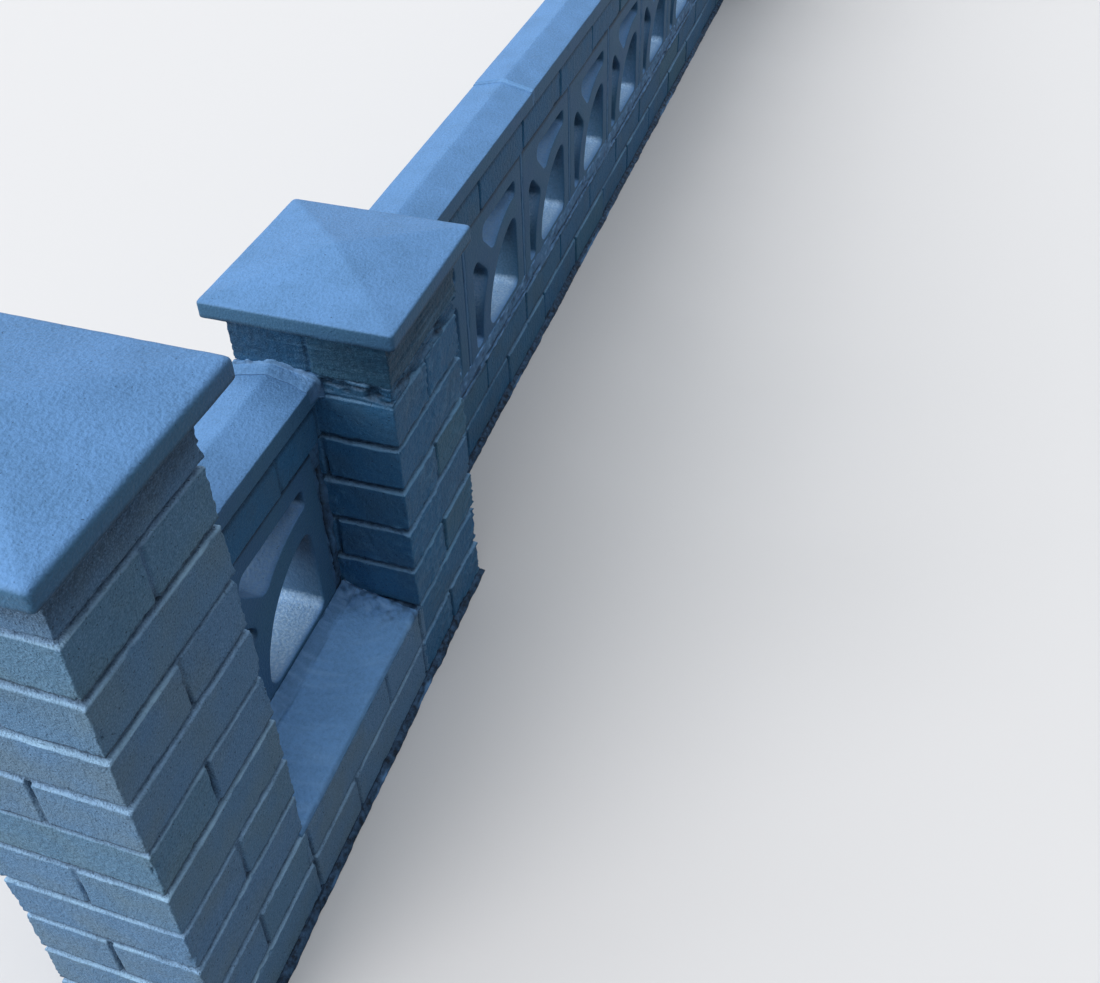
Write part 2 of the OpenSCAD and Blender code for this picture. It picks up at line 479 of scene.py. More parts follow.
@dataclass(frozen=True)
class Path:
    """Where a section is carried. The path runs the way of across times upward.

    Args:
        places: Points in mm, one row for each station.
        across: Direction of the section's first coordinate at each station.
        upward: Direction of its second coordinate at each station.
    """

    places: np.ndarray
    across: np.ndarray
    upward: np.ndarray

    @classmethod
    def straight(
        cls, axis: int, places: np.ndarray, across: tuple[float, ...], upward: tuple[float, ...]
    ) -> "Path":
        """Lays a path along an axis through the origin.

        Args:
            axis: Number of the axis.
            places: Where its stations are in mm.
            across: Direction of the section's first coordinate.
            upward: Direction of its second coordinate.

        Returns:
            The path.
        """
        stations = np.zeros((len(places), 3))
        stations[:, axis] = places
        return cls(stations, np.tile(across, (len(places), 1)), np.tile(upward, (len(places), 1)))

    @classmethod
    def along_x(cls, xs: np.ndarray) -> "Path":
        """Returns a path along X whose section is drawn in Y and Z."""
        return cls.straight(0, xs, (0.0, 1.0, 0.0), (0.0, 0.0, 1.0))

    @classmethod
    def down_z(cls, zs: np.ndarray) -> "Path":
        """Returns a path down Z whose section is drawn in Y and X."""
        return cls.straight(2, zs[::-1], (0.0, 1.0, 0.0), (1.0, 0.0, 0.0))

    @classmethod
    def against_y(cls, ys: np.ndarray) -> "Path":
        """Returns a path against Y whose section is drawn in X and Z."""
        return cls.straight(1, ys[::-1], (1.0, 0.0, 0.0), (0.0, 0.0, 1.0))

    def carry(self, section: np.ndarray, out: np.ndarray | float = 0.0) -> np.ndarray:
        """Draws the section at each station and moves its points along their normals.

        A point is its station plus its two coordinates times the two directions. Its normal
        is the mean direction of the loop at it, turned a quarter to the left.

        Args:
            section: The loop's points in mm, two to a row, clockwise.
            out: How far each point moves along its normal in mm.

        Returns:
            A grid of points, stations by section points.
        """
        ahead = np.roll(section, -1, axis=0) - section
        ahead /= np.linalg.norm(ahead, axis=1, keepdims=True)
        along = ahead + np.roll(ahead, 1, axis=0)
        along /= np.maximum(np.linalg.norm(along, axis=1, keepdims=True), 1e-9)
        normal = np.stack([-along[:, 1], along[:, 0]], axis=-1)
        out = np.broadcast_to(out, (len(self.places), len(section)))
        moved = section + normal * out[..., None]
        return (
            self.places[:, None]
            + moved[..., :1] * self.across[:, None]
            + moved[..., 1:] * self.upward[:, None]
        )


def square_ring(run: np.ndarray, rounding: float) -> tuple[np.ndarray, np.ndarray, np.ndarray]:
    """Goes once round a square with rounded corners, clockwise from above, patio side first.

    A place on a side lies on the inner square. The places of a corner share the inner
    square's corner, and their directions turn from one side's to the next.

    Args:
        run: Places along one side of the inner square in mm, from its middle.
        rounding: Radius of the corners in mm.

    Returns:
        Points of the inner square, their directions outwards, and the distance round the
        outer square in mm.
    """
    half = run[-1]
    turn = np.linspace(0, math.pi / 2, 5)[1:-1]
    bent = -np.stack([np.sin(turn), np.cos(turn)], axis=-1)
    side_points = np.stack([-run, np.full_like(run, -half)], axis=-1)
    inner = np.concatenate([side_points, np.full_like(bent, -half)])
    outward = np.concatenate([np.tile([0.0, -1.0], (len(run), 1)), bent])
    along = np.concatenate([run, half + rounding * 4 / math.pi * turn])
    side = 2 * (half + rounding)
    turns = [np.linalg.matrix_power(np.array([[0.0, 1.0], [-1.0, 0.0]]), k).T for k in range(4)]
    return (
        np.concatenate([inner @ turned for turned in turns]),
        np.concatenate([outward @ turned for turned in turns]),
        np.concatenate([along + side * (k + 0.5) for k in range(4)]),
    )


def node_box(node: str) -> tuple[np.ndarray, np.ndarray]:
    """Returns the lowest and the highest corner of a CAD node in mm."""
    low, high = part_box(node)
    return np.array(low) / MM, np.array(high) / MM


# Paint


class Slot(Enum):
    """Names of the material slots."""

    BRICK = "painted_brick"
    CONCRETE = "painted_concrete"
    MORTAR = "painted_mortar"


def linear(colour: str) -> tuple[float, float, float, float]:
    """Turns an sRGB hex colour by the standard's curve into linear red, green, blue and alpha."""
    parts = [int(colour[k : k + 2], 16) / 255 for k in (1, 3, 5)]
    return (*(c / 12.92 if c <= 0.04045 else ((c + 0.055) / 1.055) ** 2.4 for c in parts), 1.0)


def add_node(
    tree: bpy.types.NodeTree,
    kind: str,
    settings: dict[str | int, object] | None = None,
    links: dict[str | int, bpy.types.NodeSocket] | None = None,
) -> bpy.types.Node:
    """Adds a shader node with its settings and links.

    Args:
        tree: The tree that it goes in.
        kind: Type of the node.
        settings: Values of inputs, by name or number, and of the node's own properties.
        links: The socket that feeds each input, by the input's name or number.

    Returns:
        The node.
    """
    made = tree.nodes.new(kind)
    for name, value in (settings or {}).items():
        if isinstance(name, int) or name in made.inputs:
            made.inputs[name].default_value = value
        else:
            setattr(made, name, value)
    for name, socket in (links or {}).items():
        tree.links.new(socket, made.inputs[name])
    return made


@dataclass(frozen=True)
class MasonryPaint:
    """Matt exterior masonry paint, which takes on the grain of what it covers.

    Args:
        name: Name of the material.
        slot: The slot that it stands for. It is not used.
        body: Colour of the paint.
        patch: Colour where the coat is thinner.
        sky_light: Colour of the painted sky light on faces that look up, and of the painted highlights on
            the grains.
        edge: Colour along worn edges and ridges, where it is thickest and palest, and of the painted
            highlights along upper edges.
        grime_and_hollow_shade: Colour of the dirt in pits, and of the dirt and painted shade between the
            grains.
        dark: Colour of open joints and cracks, and of the painted shade in grooves and under overhangs.
        roughness: Roughness of the surface.
        patch_mm: Size of the patches in mm.
        stipple_mm: Size of the bumps left by the roller or the brush in mm.
        stipple_depth: Height of those bumps in mm.
        grain_mm: Size of the sand grains in mm.
        grain_depth: Height of the grains in mm.
        speckle: How dark the hollows between the grains are with dirt and painted shade, from 0 to 1.
        pitted: How much of the surface has small dark pits.
        tinge: Colour towards which some bricks lean.
        bare: Colour where the coat is so thin that the concrete shows through it, and of the painted light
            on sills.
        gloss: Specular level of the dried coat.
    """

    name: str
    slot: Slot
    body: str
    patch: str
    sky_light: str
    edge: str
    grime_and_hollow_shade: str
    dark: str
    roughness: float
    patch_mm: float
    stipple_mm: float
    stipple_depth: float
    grain_mm: float
    grain_depth: float
    speckle: float
    pitted: float
    tinge: str = "#50798C"
    bare: str = "#A0C2E2"
    gloss: float = 0.14

    def material(self) -> bpy.types.Material:
        """Builds the material, or returns it where it is already built.

        Returns:
            The material.
        """
        found = bpy.data.materials.get(self.name)
        if found:
            return found
        made = bpy.data.materials.new(self.name)
        made.use_nodes = True
        tree = made.node_tree
        tree.nodes.clear()
        values = self.values(tree)
        settings = {"Roughness": self.roughness, "IOR": 1.5, "Specular IOR Level": self.gloss}
        links = {"Base Color": self.coat(tree, values), "Normal": self.bumps(tree, values)}
        shader = add_node(tree, "ShaderNodeBsdfPrincipled", settings, links)
        add_node(tree, "ShaderNodeOutputMaterial", {}, {"Surface": shader.outputs[0]})
        return made

    def values(self, tree: bpy.types.NodeTree) -> dict[str, bpy.types.NodeSocket]:
        """Reads what the colour and the bumps depend on.

        Args:
            tree: The tree that the nodes go in.

        Returns:
            How far a face looks up, each mark and each noise.
        """
        place = add_node(tree, "ShaderNodeTexCoord").outputs["Object"]
        normal = add_node(tree, "ShaderNodeNewGeometry").outputs["Normal"]
        values = {"up": add_node(tree, "ShaderNodeSeparateXYZ", {}, {"Vector": normal}).outputs["Z"]}
        for mark in Mark:
            values[mark] = add_node(tree, "ShaderNodeAttribute", {"attribute_name": mark}).outputs["Fac"]
        # Each noise with the size of its lumps in mm and its detail
        for noise, size, detail in (
            ("patches", self.patch_mm, 4.0),
            ("clouds", 55.0, 3.0),
            ("dirt", 9.0, 3.0),
            ("pits", 3.4, 1.0),
            ("stipple", self.stipple_mm, 2.0),
            ("grain", self.grain_mm, 1.0),
        ):
            settings = {"Scale": 1 / (size * MM), "Detail": detail}
            values[noise] = add_node(tree, "ShaderNodeTexNoise", settings, {"Vector": place}).outputs[0]
        return values

    def coat(
        self, tree: bpy.types.NodeTree, values: dict[str, bpy.types.NodeSocket]
    ) -> bpy.types.NodeSocket:
        """Lays the colours over one another.

        The colour goes from body to patch over broad patches, then towards tinge by brick,
        to the sky light colour on faces that look up as painted sky light, to the bare colour
        where the coat is thin and as painted light on sills, dark in joints and as painted shade
        in grooves and under overhangs, to the grime colour as dirt and painted shade between the
        grains, to the sky light colour as painted highlights on the grains, grime in pits, and
        edge along worn edges and as painted highlights along upper edges.

        Args:
            tree: The tree that the nodes go in.
            values: What the colours' shares are worked out from.

        Returns:
            The colour of the coat.
        """
        # Each colour with the values whose product is its share. A value is stretched from
        # its first two numbers to its last two.
        coat = None
        pits_at = 0.3 + self.pitted
        for colour, *factors in (
            (self.patch, ("patches", 0.42, 0.66, 0.0, 1.0)),
            (self.tinge, (Mark.TONE, 0.2, 1.0, 0.0, 0.5)),
            # Painted sky light: faces that look up are paler and bluer
            (
                self.sky_light,
                ("up", 0.3, 0.9, 0.0, 1.0),
                ("clouds", 0.3, 0.6, 0.8, 1.0),
                ("stipple", 0.3, 0.6, 0.75, 1.0),
            ),
            (self.bare, (Mark.BARE_AND_LIT, 0.0, 1.0, 0.0, 0.85), ("stipple", 0.35, 0.6, 1.0, 0.4)),
            # Dark joints, with painted shade in grooves and under overhangs, varied by the dirt noise
            (self.dark, (Mark.JOINT, 0.0, 1.0, 0.0, 1.0), ("dirt", 0.35, 0.65, 1.0, 0.7)),
            # Dirt and painted shade in the hollows of the grain, then painted highlights on its peaks
            (self.grime_and_hollow_shade, ("grain", 0.5, 0.34, 0.0, self.speckle), ("clouds", 0.35, 0.65, 1.0, 0.4)),
            (self.sky_light, ("grain", 0.52, 0.68, 0.0, 0.8 * self.speckle), ("clouds", 0.35, 0.65, 0.4, 1.0)),
            (self.grime_and_hollow_shade, ("pits", pits_at, pits_at - 0.04, 0.0, 0.7)),
            (self.edge, (Mark.WEAR_AND_HIGHLIGHT, 0.0, 1.0, 0.0, 1.0), ("clouds", 0.38, 0.58, 0.3, 1.0)),
        ):
            share = None
            for value, start, stop, low, high in factors:
                stretch = {"From Min": start, "From Max": stop, "To Min": low, "To Max": high}
                ranged = add_node(tree, "ShaderNodeMapRange", stretch, {"Value": values[value]}).outputs[0]
                if share is None:
                    share = ranged
                    continue
                product = add_node(tree, "ShaderNodeMath", {"operation": "MULTIPLY"}, {0: share, 1: ranged})
                share = product.outputs[0]
            settings = {"data_type": "RGBA", 6: linear(self.body), 7: linear(colour)}
            links = {0: share} if coat is None else {0: share, 6: coat}
            coat = add_node(tree, "ShaderNodeMix", settings, links).outputs[2]
        return coat

    def bumps(
        self, tree: bpy.types.NodeTree, values: dict[str, bpy.types.NodeSocket]
    ) -> bpy.types.NodeSocket:
        """Raises the sand grains and the stipple.

        Args:
            tree: The tree that the nodes go in.
            values: The two noises that give their heights, among others.

        Returns:
            The direction of the surface.
        """
        relief = None
        for value, depth in (("grain", self.grain_depth), ("stipple", self.stipple_depth)):
            links = {"Height": values[value]} | ({"Normal": relief} if relief else {})
            relief = add_node(tree, "ShaderNodeBump", {"Distance": depth * MM}, links).outputs["Normal"]
        return relief


# Brushed thickly on sand-faced bricks, so the grain shows through the coat and the joints stay dark, with
# painted shade in their grooves
PAINT_ON_BRICK = MasonryPaint(
    name="masonry_paint_on_brick",
    slot=Slot.BRICK,
    body="#5A80A6",
    patch="#607E98",
    sky_light="#8FB9E6",
    edge="#97C1E3",
    grime_and_hollow_shade="#22374B",
    dark="#152536",
    roughness=0.65,
    patch_mm=75.0,
    stipple_mm=7.0,
    stipple_depth=2.6,
    grain_mm=2.0,
    grain_depth=1.5,
    speckle=0.3,
    pitted=0.0,
)

# The same on bricks that were coated last, more even, and darker both as a deeper coat and as painted shade
SHADED_FRESH_PAINT_ON_BRICK = replace(
    PAINT_ON_BRICK,
    name="shaded_fresh_masonry_paint_on_brick",
    body="#32658F",
    patch="#3A6284",
    sky_light="#7CAAD8",
    edge="#6C9FC9",
    grime_and_hollow_shade="#132638",
    dark="#0D2135",
    tinge="#3F6878",
    roughness=0.52,
    stipple_depth=2.2,
    grain_depth=0.9,
    speckle=0.15,
    gloss=0.1,
)

# Rolled on smooth cast concrete, so it is even, with the roller's fine stipple and a soft sheen
PAINT_ON_CONCRETE = MasonryPaint(
    name="masonry_paint_on_concrete",
    slot=Slot.CONCRETE,
    body="#3D6687",
    patch="#3D648A",
    sky_light="#6190C7",
    edge="#7FADE0",
    grime_and_hollow_shade="#2A4056",
    dark="#12202F",
    roughness=0.55,
    patch_mm=120.0,
    stipple_mm=4.2,
    stipple_depth=1.2,
    grain_mm=2.4,
    grain_depth=0.5,
    speckle=0.16,
    pitted=-0.04,
)

# Brushed on trowelled mortar, so it is coarse, with pale ridges and dark hollows that are painted highlights
# and painted shade
PAINT_ON_MORTAR = MasonryPaint(
    name="masonry_paint_on_mortar",
    slot=Slot.MORTAR,
    body="#507AA3",
    patch="#4B7099",
    sky_light="#6A9DD6",
    edge="#86B4E6",
    grime_and_hollow_shade="#22374B",
    dark="#0E1B2A",
    roughness=0.6,
    patch_mm=40.0,
    stipple_mm=6.0,
    stipple_depth=1.6,
    grain_mm=2.6,
    grain_depth=0.5,
    speckle=0.12,
    pitted=-0.12,
)


# Pieces


@dataclass
class Piece:
    """A painted piece that stands for one CAD node.

    Args:
        node: Name of the CAD node.
        seed: Which pattern its noise follows.
        paint: Its paint, where that isn't the usual one of its kind.
    """

    PAINT: ClassVar[MasonryPaint]

    node: str
    seed: int = field(kw_only=True)
    paint: MasonryPaint | None = field(default=None, kw_only=True)

    def noise(self, points: np.ndarray, size: Size, number: int = 0, octaves: int = 2) -> np.ndarray:
        """Returns one of the piece's noises at the points, by its size in mm and its number."""
        return fractal(points, size, self.seed + number, octaves)

    def surface(self) -> Surface:
        """Works out the piece's surface."""
        raise NotImplementedError

    def build(self) -> None:
        """Makes the piece's object, dresses it and ties it to the frame."""
        surface, paint = self.surface(), self.paint or self.PAINT
        made = surface.to_object(f"{self.node}_painted", paint.material())
        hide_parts(self.node)
        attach(made, "root")
        LOG.info("%s: %d triangles", made.name, surface.triangles())


@dataclass(frozen=True)
class Course:
    """One course of bricks.

    Args:
        low: Height of the bottom of its bricks in mm.
        high: Height of the top of its bricks in mm.
        joints: Middles of its upright joints in mm along the face, rising.
        rough: True where the bed below it is thick and smeared.
    """

    low: float
    high: float
    joints: tuple[float, ...]
    rough: bool = False


@dataclass(frozen=True)
class BrickFaces:
    """How the painted bricks and their joints are shaped, in mm.

    Args:
        arris: Radius of the worn edges of a brick.
        corner: Radius of the corners of a brick's face.
        bed_foot: Depth of a bed joint over the brick below it.
        bed_top: Depth of the groove along its top, under the brick above it.
        upright: Depth of the upright joints where they are open.
        upright_least: Their depth where they are nearly full.
        upright_w: Width of the upright joints.
        uneven: How far one brick may stand out past its neighbours.
        lean: How far a brick's face may lean for each mm of its height.
        chip: Depth of the chips in the edges.
        wander: How far the edges of the bricks wander.
        shaded: Height of the open strip under the topmost edge that is dark with painted shade, or 0 for
            none.
        sheltered: How far down dirt and painted shade reach under the topmost edge, or 0 for none.
        smeared: Height of the dried runs and smears over the faces.
    """

    arris: float = 1.5
    corner: float = 3.0
    bed_foot: float = 2.0
    bed_top: float = 9.0
    upright: float = 8.0
    upright_least: float = 1.5
    upright_w: float = 6.0
    uneven: float = 1.1
    lean: float = 0.018
    chip: float = 2.6
    wander: float = 0.9
    shaded: float = 0.0
    sheltered: float = 0.0
    smeared: float = 0.0


@dataclass
class Brickwork:
    """Painted brickwork over a grid of points, which is laid by courses and then aged, with painted shade
    and highlights among its marks.

    Args:
        shape: How the bricks and joints are shaped.
        along: Distance along the face in mm.
        place: The points in mm, which give the height and where the noise is read.
        courses: The courses from the ground up.
        seed: Which pattern.
    """

    shape: BrickFaces
    along: np.ndarray
    place: np.ndarray
    courses: list[Course]
    seed: int

    def __post_init__(self) -> None:
        """Reads the noise that makes edges wander, bites chips out of them and wears them."""
        wander = self.shape.wander
        self.across = self.along + wander * (self.noise(24, 0) + 0.6 * self.noise(6, 1))
        self.up = self.place[..., 2] + wander * (self.noise(34, 2) + 0.5 * self.noise(7, 3))
        self.chips = self.noise(12, 4, 3)
        self.filled = np.clip(0.8 + 0.7 * self.noise(85, 5), 0.35, 1.2)
        self.ragged = self.noise(4.5, 6)
        self.opened = step(-0.3, 0.3, self.noise(48, 12))
        self.worn = step(-0.45, 0.4, self.noise((130, 130, 40), 16))
        self.out = np.zeros(self.along.shape)
        self.marks = {mark: np.zeros(self.along.shape) for mark in (Mark.JOINT, Mark.TONE, Mark.WEAR_AND_HIGHLIGHT)}

    def noise(self, size: Size, number: int, octaves: int = 2) -> np.ndarray:
        """Returns one of the face's noises, by its size in mm and its number."""
        return fractal(self.place, size, self.seed + number, octaves)

    def raise_mark(self, mark: Mark, least: np.ndarray) -> None:
        """Raises a mark wherever it is less than the given value."""
        self.marks[mark] = np.maximum(self.marks[mark], least)

    def relief(self) -> tuple[np.ndarray, dict[Mark, np.ndarray]]:
        """Lays the courses, ages the face, paints shade under its top and roughens it all over.

        Returns:
            How far the face stands out in mm, and its marks joint, tone and lip.
        """
        for number, course in enumerate(self.courses):
            self.lay(number)
            if course.rough:
                self.smear_bed(course, self.courses[number - 1].high)
                self.drag(course)
        self.lay_runs()
        self.darken_under_top()
        return self.out + 0.4 * self.noise(17, 10) + 0.3 * self.ragged, self.marks

    def lay(self, number: int) -> None:
        """Lays a course, with half of each joint above and below it.

        Inside a brick's rounded face the distance to its edge gives a quarter-round arris,
        and outside it the joint. A bed joint is a shallow band of mortar with a deep groove
        along its top, under the brick above. An upright joint is open in places and nearly
        full in others. Each brick stands out and leans a little by itself.

        Args:
            number: The course's number, counted from the ground.
        """
        shape, course = self.shape, self.courses[number]
        first, last = number == 0, number + 1 == len(self.courses)
        below = course.low - JOINT if first else self.courses[number - 1].high
        above = course.high + JOINT if last else self.courses[number + 1].low
        from_below = first | (self.up >= (below + course.low) / 2)
        here = from_below & (last | (self.up < (course.high + above) / 2))
        u, v, ragged, opened, worn = (
            values[here] for values in (self.across, self.up, self.ragged, self.opened, self.worn)
        )
        joints = np.array(course.joints)
        end = np.abs(u[:, None] - joints).min(axis=1) - shape.upright_w / 2
        side = np.minimum(v - course.low, course.high - v)
        inside = inside_corner(end, side, shape.corner)
        brick = np.searchsorted(joints, u) % len(joints)
        cells = np.stack([brick, np.full_like(brick, number), np.zeros_like(brick)], axis=-1)

        lean = shape.lean * hashed(cells, self.seed + 8) * (v - course.low - BRICK_H / 2)
        bite = shape.chip * step(0.4, 0.75, self.chips[here]) * step(7.0, 0.0, inside)
        face = shape.uneven * hashed(cells, self.seed + 7) + lean - quarter_round(inside, shape.arris) - bite
        over = (v - course.high) / (above - course.high)
        under = 1 - (course.low - v) / (course.low - below)
        rise = np.clip(np.where(v > course.high, over, under), 0, 1)
        groove = step(0.05, 0.38, rise)
        bed = shape.bed_foot + 1.5 * rise + (shape.bed_top - shape.bed_foot) * groove * self.filled[here]
        slot = shape.upright_least + (shape.upright - shape.upright_least) * opened
        depth = np.where(side < 0, bed, slot) + 0.8 * ragged
        sunk = step(0.0, 1.1, -inside)
        self.out[here] = face * (1 - sunk) - np.maximum(depth, shape.arris + 0.2) * sunk

        # Joints are dark, darker with painted shade in the groove under each brick and where an upright
        # joint is open; the bottom edge of each brick gets a painted shadow line
        shade_and_dirt = sunk * (0.35 + 0.65 * np.where(side < 0, groove, opened))
        underside = 0.85 * step(4.6, 2.2, v - course.low + 1.2 * ragged) * (0.3 + 0.7 * worn)
        self.marks[Mark.JOINT][here] = np.maximum(shade_and_dirt, 0.0 if first else underside)
        self.marks[Mark.TONE][here] = hashed(cells, self.seed + 9) * (1 - sunk)
        # Painted highlight along each brick's top edge, stronger where the paint is worn
        highlight_w = 0.7 + 1.3 * worn
        lip = step(highlight_w, 0.3 * highlight_w, np.abs(course.high - 0.1 - v)) * step(0.0, 3.0, end)
        self.marks[Mark.WEAR_AND_HIGHLIGHT][here] = 0.0 if last else lip * (0.25 + 0.75 * worn)

    def smear_bed(self, course: Course, below: float) -> None:
        """Fills the thick bed under a rough course with smeared mortar.

        Two ridges run along the bed, near its foot and under the bricks, and pits open
        between them.

        Args:
            course: The course.
            below: Height of the top of the bricks below it in mm.
        """
        mortar = step(-1.5, 3.0, np.minimum(self.up - below, course.low + 5 * self.chips - self.up))
        pits = 5.0 * step(0.1, 0.5, self.noise((22, 22, 7), 13))
        ridges = 2.4 * bell(self.up - below - 5, 3.0) + 2.6 * bell(course.low - 4 - self.up, 3.0)
        smears = 3.4 * self.noise((40, 40, 7), 11, 3) + ridges - pits - 2.5
        self.out = self.out * (1 - mortar) + smears * mortar
        # The mortar is dark, darker with painted shade in its pits, and its ridges get painted highlights
        self.marks[Mark.JOINT] = self.marks[Mark.JOINT] * (1 - mortar) + (0.42 + 0.11 * pits) * mortar
        self.raise_mark(Mark.WEAR_AND_HIGHLIGHT, 0.11 * ridges * mortar * step(-0.3, 0.6, self.chips))

    def drag(self, course: Course) -> None:
        """Draws level drag marks over parts of a rough course, dark in their hollows with dirt and painted
        shade, and pale on their ridges as painted highlights.

        Args:
            course: The course.
        """
        dragged = step(course.low, course.low + 3, self.up) * step(-0.5, 0.4, self.noise(90, 14))
        grooves = self.noise((90, 90, 5), 15)
        self.out += 1.8 * dragged * grooves
        self.raise_mark(Mark.JOINT, dragged * np.clip(0.35 - 0.8 * grooves, 0, 1))
        self.raise_mark(Mark.WEAR_AND_HIGHLIGHT, 0.4 * dragged * step(0.3, 0.8, grooves))

    def lay_runs(self) -> None:
        """Lays dried runs over patches of the face, where the noise passes through 0."""
        if not self.shape.smeared:
            return
        runs = np.clip(1 - np.abs(self.noise((30, 30, 13), 18, 3)) / 0.15, 0, 1)
        lower = step(75.0, 90.0, self.courses[-1].high - self.place[..., 2])
        over = self.shape.smeared * runs * (step(-0.3, 0.3, self.noise((60, 60, 90), 19)) * lower)
        self.out += over
        # Runs hide the dark of the joints under them, and get a painted highlight where they stand out
        self.marks[Mark.JOINT] *= 1 - 0.5 * np.clip(over, 0, 1)
        self.raise_mark(Mark.WEAR_AND_HIGHLIGHT, 0.16 * over)

    def darken_under_top(self) -> None:
        """Opens the strip under the topmost edge and darkens it as painted shade, and darkens below it with
        dirt and painted shade.
        """
        shaded, sheltered = self.shape.shaded, self.shape.sheltered
        below_top = self.courses[-1].high - self.place[..., 2]
        if shaded:
            strip = step(shaded, 0.5 * shaded, below_top + 2.0 * self.ragged)
            self.raise_mark(Mark.JOINT, 0.9 * strip)
            self.out -= 2.0 * strip
        if sheltered:
            wavy = below_top + 6.0 * self.noise((60, 60, 20), 17)
            self.raise_mark(Mark.JOINT, 0.7 * step(sheltered, 0.3 * sheltered, wavy))


@dataclass
class Pier(Piece):
    """A pier one brick square, as one painted skin over its bricks and joints.

    Args:
        rows: Number of courses.
        rough_row: The row, counted from the ground, whose bed is thick and smeared, or -1.
        fine: Spacing of the grid at the joints in mm.
        coarse: Spacing of the grid along the faces in mm.
        rough_extra: Extra thickness of the rough bed in mm.
        rounding: Radius of the pier's upright edges in mm.
        worn: Depth of the chips in its upright edges in mm.
        stagger: How far an upright joint may lie off its place in mm.
        bricks: The shape of its bricks.
    """

    PAINT: ClassVar[MasonryPaint] = PAINT_ON_BRICK

    rows: int
    rough_row: int
    fine: float
    coarse: float
    rough_extra: float = 22.0
    rounding: float = 1.8
    worn: float = 3.0
    stagger: float = 4.0
    bricks: BrickFaces = BrickFaces()

    def courses(self, side: float) -> list[Course]:
        """Lists the courses from the ground up.

        Each course is two bricks side by side, so two opposite faces show an upright joint
        in their middle. The bricks turn by a quarter from course to course.

        Args:
            side: Length of one face in mm.

        Returns:
            The courses.
        """
        found = []
        low = JOINT
        for row in range(self.rows):
            rough = row == self.rough_row
            low += self.rough_extra if rough else 0.0
            first = 0.5 if (self.rows - row) % 2 == 0 else 1.5
            shift = self.stagger * float(hashed(np.array([row, 0, 0]), self.seed))
            joints = (side * first + shift, side * (first + 2) - shift)
            found.append(Course(low, low + BRICK_H, joints, rough))
            low += COURSE_H
        return found

    def surface(self) -> Surface:
        """Carries a rounded square up the pier and moves each point by the bricks' relief.

        A point is the inner square's point, drawn towards the middle by the relief, plus
        the corner radius along its direction outwards.

        Returns:
            A closed surface.
        """
        low, high = node_box(self.node)
        side = high[0] - low[0]
        inner = side / 2 - self.rounding
        courses = self.courses(side)
        beds = [edge for c in courses for edge in (c.low, c.high)]
        for course in courses:
            if course.rough:
                beds += even(course.low - JOINT - self.rough_extra, course.high, 6.0).tolist()
        heights = graded(low[2], high[2], beds, self.fine, self.coarse)
        run = graded(-inner, inner, [-inner, -JOINT / 2, JOINT / 2, inner], self.fine, self.coarse)
        square, outward, along = square_ring(run, self.rounding)
        middle = (low[:2] + high[:2]) / 2
        place = np.empty((len(heights), len(square), 3))
        place[..., :2] = middle + square + outward * self.rounding
        place[..., 2] = heights[:, None]
        along = np.broadcast_to(along % (4 * side), place.shape[:2])
        out, marks = Brickwork(self.bricks, along, place, courses, self.seed).relief()
        from_edge = inner - np.abs(square).min(axis=1)
        chipped = step(0.25, 0.7, self.noise(place, (11, 11, 16), 40, 3))
        sandy = 1.5 * self.noise(place, 5.0, 41)
        out += sandy * step(5.0, 0.0, from_edge) - self.worn * chipped * step(8.0, 0.0, from_edge)
        place[..., :2] = middle + square * (1 + out[..., None] / inner) + outward * self.rounding
        return tube(place, marks)


@dataclass
class BrickRun(Piece):
    """A straight run of brickwork between two piers, as one painted skin.

    Args:
        foot: Height of the bottom of its lowest bricks above its own bottom in mm.
        first_joints: For each course from the ground up, the place of one upright joint
            from the run's start in mm.
        fine: Spacing of the grid at the joints in mm.
        coarse: Spacing of the grid along the faces in mm.
        least: The shortest piece of brick that is laid in mm.
        bricks: The shape of its bricks.
    """

    PAINT: ClassVar[MasonryPaint] = PAINT_ON_BRICK

    foot: float
    first_joints: tuple[float, ...]
    fine: float
    coarse: float
    least: float = 40.0
    bricks: BrickFaces = BrickFaces()

    def courses(self, low: np.ndarray, high: np.ndarray) -> list[Course]:
        """Lists the courses from the ground up.

        The upright joints are a brick and a joint apart, with one more against each pier.

        Args:
            low: Lowest corner of the run in mm.
            high: Highest corner of the run in mm.

        Returns:
            The courses.
        """
        found = []
        for row, first in enumerate(self.first_joints):
            bottom = low[2] + self.foot + row * COURSE_H
            joints = np.arange(low[0] + first % BRICK_PITCH, high[0], BRICK_PITCH)
            joints = joints[(joints > low[0] + self.least) & (joints < high[0] - self.least)]
            ends = (low[0] + JOINT / 2, high[0] - JOINT / 2)
            found.append(Course(bottom, bottom + BRICK_H, (ends[0], *joints, ends[1])))
        return found

    def surface(self) -> Surface:
        """Carries the wall's section along X and moves its two faces by the bricks' relief.

        Returns:
            A closed surface.
        """
        low, high = node_box(self.node)
        courses = self.courses(low, high)
        beds = [edge for c in courses for edge in (c.low, c.high)]
        uprights = [x + half for c in courses for x in c.joints for half in (-JOINT / 2, JOINT / 2)]
        xs = graded(low[0] - KEYED, high[0] + KEYED, uprights, self.fine, self.coarse)
        section = slab(graded(low[2], high[2], beds, self.fine, 1.4 * self.coarse), low[1], high[1])
        place = Path.along_x(xs).carry(section)
        out, marks = Brickwork(self.bricks, place[..., 0], place, courses, self.seed).relief()
        place[..., 1] += out * faces_of(section)
        on_face = np.abs(faces_of(section))
        return tube(place, {mark: values * on_face for mark, values in marks.items()})


